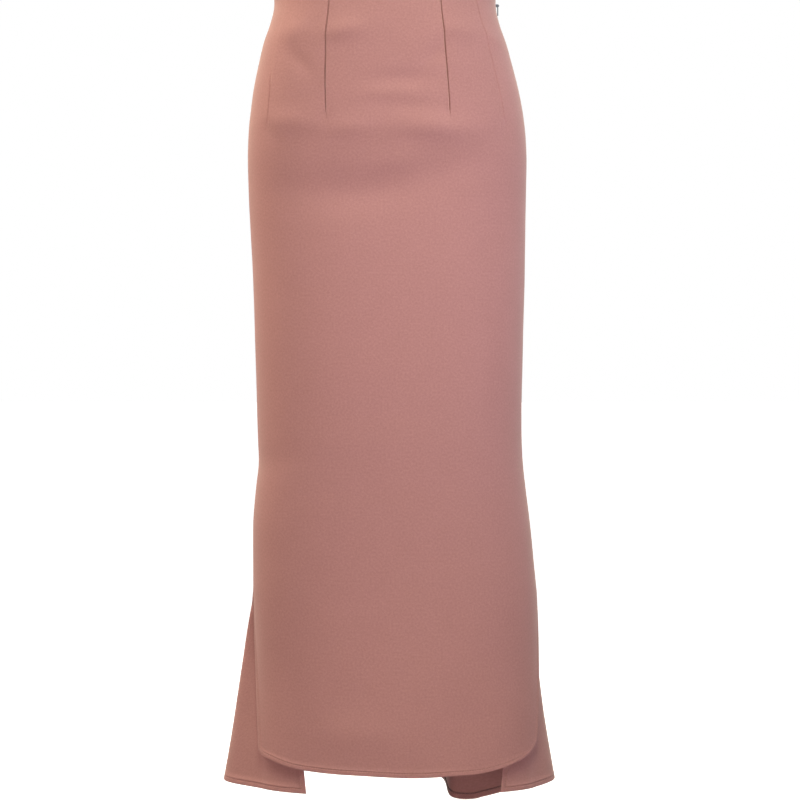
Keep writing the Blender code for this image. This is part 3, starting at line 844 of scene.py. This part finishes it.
def slice_across(place, direction):
    """In edit mode: cuts a new ring of vertices through the whole piece."""
    bpy.ops.mesh.select_all(action="SELECT")
    bpy.ops.mesh.bisect(plane_co=place, plane_no=direction)


def squeeze(value, centre=(0.0, 0.0, 0.0)):
    """In edit mode: resizes what is chosen about a centre."""
    bpy.ops.transform.resize(value=value, center_override=centre)


def finish_with(piece, kind, **settings):
    """Adds a modifier and applies it."""
    modifier = piece.modifiers.new(kind.title(), kind)
    for name, value in settings.items():
        setattr(modifier, name, value)
    bpy.context.view_layer.objects.active = piece
    bpy.ops.object.modifier_apply(modifier=modifier.name)


def bevel(piece, width, segments):
    finish_with(piece, "BEVEL", width=width, segments=segments, limit_method="ANGLE")


def carve(piece, tool, operation):
    """A Boolean with another piece, which is used up."""
    finish_with(piece, "BOOLEAN", operation=operation, solver="EXACT", object=tool)
    bpy.data.objects.remove(tool, do_unlink=True)


def take_form(piece):
    """The points and faces of a modelled form, which is then removed."""
    points = np.array([vertex.co for vertex in piece.data.vertices])
    faces = [list(polygon.vertices) for polygon in piece.data.polygons]
    bpy.data.objects.remove(piece, do_unlink=True)
    return points, faces


def repeat(form, frames):
    """Copies of a form at each frame: an origin and the directions of the form's three axes."""
    points, faces = form
    placed, joined = [], []
    for number, (origin, axes) in enumerate(frames):
        placed.append(origin + points @ axes)
        joined += [[vertex + number * len(points) for vertex in face] for face in faces]
    return np.concatenate(placed), joined


# --- Stitches
STITCH_LENGTH = 2.5 * MM
STITCH_PITCH = 3.0 * MM
STITCH_RISES = 0.55
# Where a stitch gets new rings of vertices, in parts of its length from its middle. Its outer
# rings dive into the cloth and get thinner: from where on, how deep, and to what part.
STITCH_CUTS = (-0.36, -0.2, 0.2, 0.36)
STITCH_ENDS = ((0.49, 0.34 * MM, 0.55), (0.35, 0.10 * MM, 0.9))
STITCH_RING = 0.06
THREAD_RADIUS = 0.21 * MM
OVERLOCK_PITCH = 1.15 * MM
OVERLOCK_SLANT = 0.3
OVERLOCK_THICKNESS = 1.5


def model_stitch():
    """One stitch of sewing thread along X: a short bar whose ends dive into the cloth (-Z)."""
    piece = cylinder(6, THREAD_RADIUS, STITCH_LENGTH, ALONG_X)
    edit(piece)
    for share in STITCH_CUTS:
        slice_across((share * STITCH_LENGTH, 0, 0), (1, 0, 0))
    for low, drop, size in STITCH_ENDS:
        choose(piece, lambda at: low < abs(at.x) / STITCH_LENGTH < low + STITCH_RING)
        bpy.ops.transform.translate(value=(0.0, 0.0, -drop))
        bpy.ops.transform.resize(value=(1.0, size, size))
    done()
    return take_form(piece)


def unit(vectors):
    return vectors / np.maximum(np.linalg.norm(vectors, axis=-1), 1e-12)[..., None]


def resample(points, normals, pitch):
    """Middles, directions and normals of stitches laid end to end along a line."""
    run = np.concatenate([[0.0], np.cumsum(np.linalg.norm(np.diff(points, axis=0), axis=1))])

    def pick(values, where):
        return np.stack([np.interp(where, run, column) for column in values.T], axis=1)

    at = np.arange(pitch / 2.0, run[-1], pitch)
    forward = unit(pick(points, at + pitch / 2.5) - pick(points, at - pitch / 2.5))
    up = pick(normals, at)
    up -= forward * np.sum(up * forward, axis=1)[:, None]
    return pick(points, at), forward, unit(up)


def grid_normals(grid, outward):
    """Outward normals of a face's grid."""
    normal = unit(np.cross(np.gradient(grid, axis=1), np.gradient(grid, axis=0)))
    return normal if outward else -normal


def sew(name, panel, lines, form, material, pitch, rises=1.0, faces=(-1.0,), slant=None):
    """Threads on lines of a panel's grid, on its outer face (1) or inner one (-1).

    They lie along the line, or across it at a slant.
    """
    frames = []
    for facing in faces:
        grid = panel.outer if facing > 0.0 else panel.inner
        normals = facing * grid_normals(grid, panel.outward)
        for line in lines:
            middles, along, up = resample(grid[line], normals[line], pitch)
            if slant is not None:
                along = unit(np.cross(up, along) + slant * along)
            origins = middles + up * THREAD_RADIUS * rises
            for origin, *axes in zip(origins, along, np.cross(up, along), up):
                frames.append((origin, np.array(axes)))
    return link_mesh(name, *repeat(form, frames), material, 60.0)


# --- Materials
WHITE = (1.0, 1.0, 1.0, 1.0)


def linear(hex_colour):
    """A colour written as sRGB hex, in linear light."""
    values = [int(hex_colour[i : i + 2], 16) / 255.0 for i in (1, 3, 5)]
    return tuple(v / 12.92 if v <= 0.04045 else ((v + 0.055) / 1.055) ** 2.4 for v in values)


def new_material(name, **settings):
    """A material and its Principled shader, with settings on the shader's own sockets."""
    material = bpy.data.materials.new(name)
    material.use_nodes = True
    shader = material.node_tree.nodes["Principled BSDF"]
    for socket, value in settings.items():
        shader.inputs[socket.replace("_", " ")].default_value = value
    return material, shader


def add(owner, kind, output, links=(), **settings):
    """A new node's output; links are (socket, output) pairs, and values for its sockets."""
    node = owner.node_tree.nodes.new("ShaderNode" + kind)
    for name, value in settings.items():
        setattr(node, name, value)
    for socket, value in links:
        if isinstance(value, bpy.types.NodeSocket):
            owner.node_tree.links.new(value, node.inputs[socket])
        else:
            node.inputs[socket].default_value = value
    return node.outputs[output]


def maths(owner, operation, *values):
    return add(owner, "Math", "Value", enumerate(values), operation=operation)


def speckle(owner, place, scale, detail=2.0, roughness=0.5):
    """Noise with this many grains to the unit."""
    links = ("Vector", place), ("Scale", scale), ("Detail", detail), ("Roughness", roughness)
    return add(owner, "TexNoise", "Fac", links)


def waves(owner, place, scale, distortion, direction):
    links = ("Vector", place), ("Scale", scale), ("Distortion", distortion)
    return add(owner, "TexWave", "Fac", links, bands_direction=direction)


def bump(owner, height, strength, distance):
    links = ("Height", height), ("Strength", strength), ("Distance", distance)
    return add(owner, "Bump", "Normal", links)


def fade(owner, value, starts, ends, before, after, interpolation="SMOOTHSTEP"):
    """One number before a place, another after it, and a change between them."""
    sockets = ("Value", "From Min", "From Max", "To Min", "To Max")
    links = zip(sockets, (value, starts, ends, before, after))
    return add(owner, "MapRange", "Result", links, interpolation_type=interpolation)


def colour_ramp(material, factor, *stops):
    """A colour ramp from (place, sRGB hex) stops."""
    colour = add(material, "ValToRGB", "Color", [("Fac", factor)])
    ramp = colour.node.color_ramp
    while len(ramp.elements) < len(stops):
        ramp.elements.new(0.5)
    for element, (place, tone) in zip(ramp.elements, stops):
        element.position = place
        element.color = (*linear(tone), 1.0)
    return colour


def wired(material, shader, **outputs):
    """The material, with outputs linked to its shader's sockets."""
    for socket, output in outputs.items():
        material.node_tree.links.new(output, shader.inputs[socket.replace("_", " ")])
    return material


def make_crepe():
    """Heavy polyester-wool crepe: hard-twisted yarns in a plain weave, matte and pebbly."""
    # Crepe yarns lie 0.5 mm apart, and their twist makes grains about 0.9 mm across. The eye gets
    # a dry matte face with a fine grain, slightly paler where it turns away.
    material, shader = new_material(
        "wool_crepe_rose",
        Roughness=0.86,
        Specular_IOR_Level=0.28,
        Sheen_Weight=0.42,
        Sheen_Roughness=0.42,
        Sheen_Tint=(*linear("#F3E3D9"), 1.0),
    )
    uv = add(material, "TexCoord", "UV")

    def stretched(place, x, y, z):
        return add(material, "Mapping", "Vector", [("Vector", place), ("Scale", (x, y, z))])

    millimetres = stretched(uv, 1000.0, 1000.0, 1000.0)
    pebble = speckle(material, millimetres, 1.0 / 0.9, 2.0, 0.6)
    warp = speckle(material, stretched(millimetres, 1.0, 0.22, 1.0), 1.0 / 0.5, 1.0, 0.6)
    weft = speckle(material, stretched(millimetres, 0.22, 1.0, 1.0), 1.0 / 0.5, 1.0, 0.6)
    # Grains 2.6 mm across stand for the finer ones, which a picture of the whole skirt can't show
    coarse = speckle(material, millimetres, 1.0 / 2.6, 3.0, 0.6)
    mottle = speckle(material, millimetres, 1.0 / 26.0, 2.0, 0.6)
    height = maths(material, "MULTIPLY_ADD", maths(material, "ADD", warp, weft), 0.35, pebble)
    height = maths(material, "MULTIPLY_ADD", coarse, 1.1, height)
    shade = maths(material, "MULTIPLY", coarse, 0.62)
    shade = maths(material, "MULTIPLY_ADD", pebble, 0.28, shade)
    shade = maths(material, "MULTIPLY_ADD", mottle, 0.10, shade)
    colour = colour_ramp(material, shade, (0.30, "#AB7874"), (0.50, "#B5807D"), (0.70, "#BF8985"))
    relief = bump(material, height, 0.55, 0.16 * MM)
    return wired(material, shader, Base_Color=colour, Normal=relief)


def make_thread(name, dark, light):
    """Core-spun polyester sewing thread, dyed to go with the cloth."""
    # Two plies twisted every 0.9 mm, with a low silky gloss
    material, shader = new_material(name, Roughness=0.55, Sheen_Weight=0.25)
    place = add(material, "TexCoord", "Object")
    flecks = speckle(material, place, 1100.0, 1.0)
    colour = colour_ramp(material, flecks, (0.35, dark), (0.65, light))
    plies = waves(material, place, 350.0, 1.0, "DIAGONAL")
    relief = bump(material, plies, 0.5, 0.06 * MM)
    return wired(material, shader, Base_Color=colour, Normal=relief)


def make_tape():
    """Knitted polyester zip tape, with ribs 0.6 mm apart along it."""
    # Ribs and a slight sheen tell it from the crepe
    material, shader = new_material("polyester_zip_tape", Roughness=0.7, Sheen_Weight=0.2)
    uv = add(material, "TexCoord", "UV")
    ribs = waves(material, uv, 1000.0 / 0.6 / 20.0, 0.6, "X")
    courses = waves(material, uv, 1000.0 / 0.8 / 20.0, 0.8, "Y")
    knit = maths(material, "MULTIPLY", ribs, courses)
    colour = colour_ramp(material, knit, (0.1, "#8A5C52"), (0.8, "#A27468"))
    return wired(material, shader, Base_Color=colour, Normal=bump(material, knit, 0.6, 0.2 * MM))


def make_nylon():
    """Nylon monofilament of the zip's coils, dyed like the tape."""
    # Drawn plastic: smooth, a little clear, with a soft gloss
    material, shader = new_material("nylon_coil", Roughness=0.32, IOR=1.53, Subsurface_Weight=0.1)
    tone = speckle(material, add(material, "TexCoord", "Object"), 300.0)
    colour = colour_ramp(material, tone, (0.3, "#94665B"), (0.7, "#A97B6F"))
    return wired(material, shader, Base_Color=colour)


def make_zinc():
    """Die-cast zinc with a gunmetal plating, barrel-polished."""
    # Dark grey mirror, softened by fine tumbling marks, its tone varying at random
    material, shader = new_material("gunmetal_plated_zinc", Metallic=1.0)
    place = add(material, "TexCoord", "Object")
    tumble = speckle(material, place, 900.0, 3.0)
    colour = colour_ramp(
        material, speckle(material, place, 220.0), (0.3, "#5E646D"), (0.7, "#7B818A")
    )
    gloss = fade(material, tumble, 0.0, 1.0, 0.26, 0.42, "LINEAR")
    relief = bump(material, tumble, 0.25, 0.03 * MM)
    return wired(material, shader, Base_Color=colour, Roughness=gloss, Normal=relief)


def make_studio_floor():
    """Matte white painted board with a painted glow: its emission is weak near the stand and strong
    past it, so that it runs into the wall.
    """
    material, shader = new_material("studio_floor_white_painted_glow", Roughness=0.9, Emission_Color=WHITE)
    place = add(material, "TexCoord", "Object")
    away = add(material, "VectorMath", "Value", [(0, place)], operation="LENGTH")
    colour = colour_ramp(
        material, speckle(material, place, 0.7), (0.3, "#C9C8C5"), (0.7, "#CECDCB")
    )
    # Painted glow: emission 0.35 near the stand, rising to 1.05 past 1.45 m from it
    glow = fade(material, away, 1.25, 1.45, 0.35, 1.05)
    return wired(material, shader, Base_Color=colour, Emission_Strength=glow)


# --- The cloth
crepe = make_crepe()
thread = make_thread("polyester_thread_rose", "#84554B", "#9C6C60")
# The overlock thread is near-black. It is real overlock on the raw hem edge, and its dark colour is
# a painted shadow line under the inner hem band's edge.
overlock_thread_painted_shade = make_thread("polyester_thread_dark_painted_shade", "#33191A", "#4A2726")
stitch = model_stitch()
loop = (stitch[0] * (1.0, OVERLOCK_THICKNESS, OVERLOCK_THICKNESS), stitch[1])

FlatCut = namedtuple("FlatCut", "width length area")
# The back's hem lines start at this column, beside the centre seam
BESIDE_SEAM = 2


def hem_lines(panel, free_edges, inset):
    """Lines along a hem and up its one or two free edges, as columns and rows of the grid."""
    columns, rows = panel.outer.shape[:2]
    last, row = columns - 1 - inset, rows - 1 - inset
    along = np.arange(inset if free_edges == 2 else BESIDE_SEAM, last + 1)
    up = np.arange(row, UPPER_ROWS + 1, -1)
    upright = [(np.full(up.shape, column), up) for column in (last, inset)[:free_edges]]
    return [(along, np.full(along.shape, row))] + upright


def dress(name, panel, free_edges):
    """Lays a panel's cloth, with the stitches and the overlock of its hems; the overlock's
    near-black thread is a painted shadow line inside the hem.
    """
    cloth = make_shell(name + "_cloth", panel, crepe)
    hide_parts(name)
    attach(cloth, "skirt")
    lines = hem_lines(panel, free_edges, STITCH_COLUMN)
    stitches = sew(
        name + "_stitches", panel, lines, stitch, thread, STITCH_PITCH, STITCH_RISES, (1.0, -1.0)
    )
    # Overlock on the raw edge inside the hem, in near-black thread that paints the shadow line
    # under the band's edge
    lines = hem_lines(panel, free_edges, RAW_EDGE_COLUMN)
    overlock_with_painted_shade = sew(
        name + "_overlock_painted_shade_line", panel, lines, loop, overlock_thread_painted_shade, OVERLOCK_PITCH, slant=OVERLOCK_SLANT
    )
    for sewing in (stitches, overlock_with_painted_shade):
        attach(sewing, "skirt")


dress("front_panel", lay_front(), 2)
for side, name in ((1, "back_left"), (-1, "back_right")):
    dress(name, lay_back(side), 1)

# --- The zip
TAPE_THICKNESS = 0.55 * MM
TAPE_ROW = 2.0 * MM
TAPE_LINES = 8
TAPE_NOSE = 0.15 * MM
TAPE_EDGE = 0.6 * MM
TAPE_ROUNDING = 0.2 * MM
COIL_PITCH = 1.3 * MM
COIL_TOP = 0.010
COIL_BOTTOM = 0.192
COIL_RADIUS = 0.62 * MM
COIL_WIRE = 0.19 * MM
COIL_AWAY = 0.72 * MM
COIL_STANDS = 0.45 * MM
COIL_TAIL = 0.3 * MM
COIL_TAIL_SIZE = (1.0, 1.0, 0.72)
COIL_SIZE = (1.25, 1.0, 0.62)
# A turn points from its middle to the tape's edge, and up from its middle to a place further in
COIL_LOOKS_FROM = 2.0 * MM
COIL_LOOKS_UP = 1.0 * MM

tape_material = make_tape()
nylon = make_nylon()
zinc = make_zinc()


def tape_point(which, away, depth, inward):
    """A point at a distance from the zip's seam line, on the front's tape or the back's."""
    away = away + zip_gap(depth) / 2.0
    if which == "front":
        return front_place(1.0 - away / FRONT.length(depth), depth, inward)
    return back_place(1.0 - away / BACK.length(depth), 1, depth, inward)


def make_zip_tape(which):
    depth = np.linspace(ZIP_TOP, ZIP_BOTTOM, int((ZIP_BOTTOM - ZIP_TOP) / TAPE_ROW) + 1)
    away = np.array([0.0, TAPE_NOSE, *np.linspace(TAPE_EDGE, ZIP_TAPE_WIDTH, TAPE_LINES)])
    away, depth = np.meshgrid(away, depth, indexing="ij")
    rolled = TAPE_ROUNDING * (1.0 - ease(away, 0.0, TAPE_EDGE))
    panel = Panel(
        tape_point(which, away, depth, ZIP_TAPE_DEPTH + rolled),
        tape_point(which, away, depth, ZIP_TAPE_DEPTH + TAPE_THICKNESS - rolled),
        np.ones((away.shape[0] - 1, away.shape[1] - 1), bool),
        np.stack([away, -depth], axis=-1),
        which == "back",
    )
    return make_shell("zip_tape_" + which + "_cloth", panel, tape_material)


def model_coil_turn():
    """One turn of the coil, lying across the tape's edge (X), standing on the tape (Z)."""
    piece = start(
        bpy.ops.mesh.primitive_torus_add,
        major_segments=12,
        minor_segments=5,
        major_radius=COIL_RADIUS,
        minor_radius=COIL_WIRE,
        rotation=ALONG_Y,
    )
    settle(piece)
    edit(piece)
    choose(piece, lambda at: at.x > COIL_TAIL)
    squeeze(COIL_TAIL_SIZE)
    bpy.ops.mesh.select_all(action="SELECT")
    squeeze(COIL_SIZE)
    done()
    return take_form(piece)


def make_coil(which, turn_form):
    """A tape's coil: turns side by side along its edge, half a pitch off those of the other."""
    offset = 0.0 if which == "front" else COIL_PITCH / 2.0
    depth = np.arange(COIL_TOP + offset, COIL_BOTTOM, COIL_PITCH)
    stand = ZIP_TAPE_DEPTH + TAPE_THICKNESS + COIL_STANDS
    places = (COIL_AWAY, stand), (COIL_LOOKS_FROM, stand), (COIL_AWAY, stand + COIL_LOOKS_UP)
    points = [tape_point(which, away + 0.0 * depth, depth, inward) for away, inward in places]
    frames = []
    for origin, inside, top in zip(*points):
        x, z = unit(origin - inside), unit(top - origin)
        frames.append((origin, np.array([x, np.cross(z, x), z])))
    return link_mesh("zip_coil_" + which, *repeat(turn_form, frames), nylon, 80.0)


coil_turn = model_coil_turn()
for which, behind in (("front", "front_panel"), ("back", "back_left")):
    tape = make_zip_tape(which)
    coil = make_coil(which, coil_turn)
    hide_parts("zip_tape_" + which)
    for piece in (tape, coil):
        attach(piece, "skirt")

# --- Slider and pull, in the places of their solids
SLIDER_BODY = (2.8 * MM, 5.6 * MM, 10.0 * MM)
# Widths of the slider's body by their place up it, in parts of its width and height
SLIDER_WAIST = ((-0.5, 0.72), (-0.25, 0.74), (0.05, 0.82), (0.3, 1.0), (0.5, 0.86))
CHANNEL_RADIUS = 0.62 * MM
CHANNEL_AWAY = 1.05 * MM
CHANNEL_DEPTH = 1.2 * MM
LUG_HALF = 0.5 * MM
LUG_RADIUS = 1.7 * MM
LUG_ROOT = 0.6 * MM
EYE_RADIUS = 0.95 * MM
PIN_RADIUS = 0.65 * MM
PIN_SHORT_BY = 0.3 * MM
PULL_THICK = 1.2 * MM
PULL_LENGTH = 12.7 * MM
PULL_HALF = 2.2 * MM
PULL_SHOULDER = 1.6 * MM
PULL_ARM = 1.0 * MM
RUNNING_GAP = 0.3 * MM
SLIDER_BEVEL = 0.55 * MM
LUG_BEVEL = 0.12 * MM
PULL_BEVEL = 0.22 * MM
NEAR = 0.1 * MM
METAL_SHARP = 32.0

slider_low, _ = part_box("zip_slider")
_, pull_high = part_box("zip_pull")
pin = Vector((pull_high.x - PULL_THICK / 2.0, 0.0, pull_high.z - PULL_THICK / 2.0))


def make_slider():
    """The slider: a waisted body astride the coils, and a lug with an eye for the pull."""
    thick, wide, high = SLIDER_BODY
    face = slider_low.x + thick
    body = block(
        (slider_low.x, -wide / 2.0, pin.z - high / 2.0), (face, wide / 2.0, pin.z + high / 2.0)
    )
    edit(body)
    for share, _ in SLIDER_WAIST[1:-1]:
        slice_across((0, 0, pin.z + share * high), (0, 0, 1))
    for share, width in SLIDER_WAIST:
        level = pin.z + share * high
        choose(body, lambda at: abs(at.z - level) < NEAR)
        squeeze((1.0, width, 1.0), (0.0, 0.0, level))
    done()
    bevel(body, SLIDER_BEVEL, 4)
    for side in (-1, 1):
        place = (face - CHANNEL_DEPTH, side * CHANNEL_AWAY, pin.z)
        carve(body, cylinder(20, CHANNEL_RADIUS, 3.0 * high, ALONG_Z, place), "DIFFERENCE")
    lug = block(
        (face - LUG_ROOT, -LUG_HALF, pin.z - LUG_RADIUS), (pin.x, LUG_HALF, pin.z + LUG_RADIUS)
    )
    eye = cylinder(32, LUG_RADIUS, 2.0 * LUG_HALF, ALONG_Y, pin)
    bevel(eye, LUG_BEVEL, 2)
    carve(body, lug, "UNION")
    carve(body, eye, "UNION")
    carve(body, cylinder(32, EYE_RADIUS, 3.0 * LUG_RADIUS, ALONG_Y, pin), "DIFFERENCE")
    return body


def make_pull():
    """The pull: a flat drop of metal, forked at its top round the lug, on a cross pin."""
    back = pin.x - PULL_THICK / 2.0
    foot_z = pin.z + PULL_THICK / 2.0 - PULL_LENGTH + PULL_HALF
    tab = start(
        bpy.ops.mesh.primitive_circle_add,
        vertices=48,
        radius=PULL_HALF,
        fill_type="NGON",
        location=(back, 0.0, foot_z),
        rotation=ALONG_X,
    )
    settle(tab)
    edit(tab)
    choose(tab, lambda at: at.z > foot_z - NEAR)
    squeeze((1.0, 1.0, 1.0 + PULL_SHOULDER / PULL_HALF), (pin.x, 0.0, foot_z))
    done()
    edit(tab)
    bpy.ops.mesh.select_all(action="SELECT")
    bpy.ops.mesh.extrude_region_move(TRANSFORM_OT_translate={"value": (PULL_THICK, 0.0, 0.0)})
    bpy.ops.mesh.select_all(action="SELECT")
    bpy.ops.mesh.normals_make_consistent(inside=False)
    done()
    fork = LUG_HALF + RUNNING_GAP
    neck = fork + PULL_ARM
    top = pin.z + PULL_THICK / 2.0
    arms = block((back, -neck, foot_z + PULL_SHOULDER), (pin.x + PULL_THICK / 2.0, neck, top))
    carve(tab, arms, "UNION")
    bevel(tab, PULL_BEVEL, 3)
    slot = block(
        (pin.x - PULL_THICK, -fork, pin.z - LUG_RADIUS - RUNNING_GAP),
        (pin.x + PULL_THICK, fork, pin.z + 2.0 * LUG_RADIUS),
    )
    carve(tab, slot, "DIFFERENCE")
    carve(tab, cylinder(32, PIN_RADIUS, 2.0 * neck - PIN_SHORT_BY, ALONG_Y, pin), "UNION")
    return tab


for piece, node, body in (
    (make_slider(), "zip_slider", "skirt"),
    (make_pull(), "zip_pull", "pull_tab"),
):
    piece.name = node + "_metal"
    piece.data.name = piece.name
    piece.data.materials.clear()
    piece.data.materials.append(zinc)
    piece.data.shade_smooth()
    piece.data.set_sharp_from_angle(angle=math.radians(METAL_SHARP))
    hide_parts(node)
    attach(piece, body)

# --- Studio
FLOOR_LEVEL = -1.10
WALL_LIGHT = 0.8
ROOM_LIGHT = 0.18
CEILING_LIGHT = 0.5

floor = start(bpy.ops.mesh.primitive_plane_add, size=1200.0, location=(0.0, 0.0, FLOOR_LEVEL))
floor.name = "studio_floor"
settle(floor)
floor.data.materials.append(make_studio_floor())
floor.visible_diffuse = False

# The camera sees a white room. The skirt is lit by a bright wall, a dimmer ceiling and a dark room.
world = bpy.data.worlds.new("white_studio")
world.use_nodes = True
direction = add(world, "TexCoord", "Generated")
upward = add(world, "SeparateXYZ", "Z", [("Vector", direction)])
backward = upward.node.outputs["Y"]
overhead = fade(world, upward, 0.17, 0.34, 1.0, CEILING_LIGHT)
around = fade(world, backward, 0.6, 0.9, ROOM_LIGHT, WALL_LIGHT)
seen = add(world, "LightPath", "Is Camera Ray")
strength = maths(world, "MAXIMUM", maths(world, "MULTIPLY", overhead, around), seen)
tints = [("Factor", seen), ("A", (*linear("#FFDDE4"), 1.0)), ("B", WHITE)]
tint = add(world, "Mix", "Result", tints, data_type="RGBA")
wired(world, world.node_tree.nodes["Background"], Color=tint, Strength=strength)
scene = bpy.context.scene
scene.world = world
scene.view_settings.view_transform = "Standard"
scene.view_settings.look = "None"


def softbox(name, place, target, size, watts, colour, spread=180.0):
    data = bpy.data.lights.new(name, "AREA")
    data.shape = "RECTANGLE"
    data.size, data.size_y = size
    data.energy = watts
    data.color = linear(colour)
    data.spread = math.radians(spread)
    lamp = bpy.data.objects.new(name, data)
    scene.collection.objects.link(lamp)
    lamp.location = place
    lamp.rotation_euler = (Vector(target) - Vector(place)).to_track_quat("-Z", "Y").to_euler()


softbox("key", (0.1, -2.0, 2.9), (0.0, 0.0, -0.3), (1.2, 1.2), 109.0, "#F0FFE2")
softbox("front", (0.05, -3.0, -0.75), (0.0, 0.0, -0.75), (1.0, 1.0), 20.0, "#FFF3EA")
softbox("front_low", (0.1, -2.6, -0.85), (0.04, 0.0, -0.92), (0.4, 0.3), 0.055, "#FFFAE4", 14.0)
softbox("upper_right", (1.5, -1.7, 0.2), (0.05, 0.0, -0.28), (0.6, 0.6), 1.5, "#E8EAFF", 40.0)
softbox("left_fill", (-2.3, -1.4, 0.4), (-0.05, 0.0, -0.2), (0.9, 1.2), 0.82, "#FFD6BE", 40.0)
softbox("side_left", (-2.0, 0.9, 0.5), (-0.1, 0.0, -0.25), (0.6, 1.2), 7.5, "#FFE9D4", 90.0)
softbox("side_right", (1.9, 1.3, 0.9), (0.1, 0.0, -0.1), (0.6, 1.2), 2.2, "#F0F4FF", 60.0)
softbox("high_left", (-1.8, 0.5, 2.2), (-0.1, 0.0, -0.1), (0.9, 0.9), 33.0, "#FFF8DC")
softbox("back", (0.5, 3.0, 0.6), (0.0, 0.0, -0.5), (1.0, 1.0), 20.0, "#FFF6EE")

CAMERA_PLACE = (0.0183, -3.1, -0.4961)
MM_PER_PIXEL = 1.21
PICTURE_PIXELS = 800
SENSOR = 36.0
camera_data = bpy.data.cameras.new("camera")
camera_data.sensor_width = SENSOR
camera_data.lens = SENSOR * -CAMERA_PLACE[1] / (PICTURE_PIXELS * MM_PER_PIXEL * MM)
camera = bpy.data.objects.new("camera", camera_data)
camera.location = CAMERA_PLACE
camera.rotation_euler = ALONG_Y
scene.collection.objects.link(camera)
scene.camera = camera
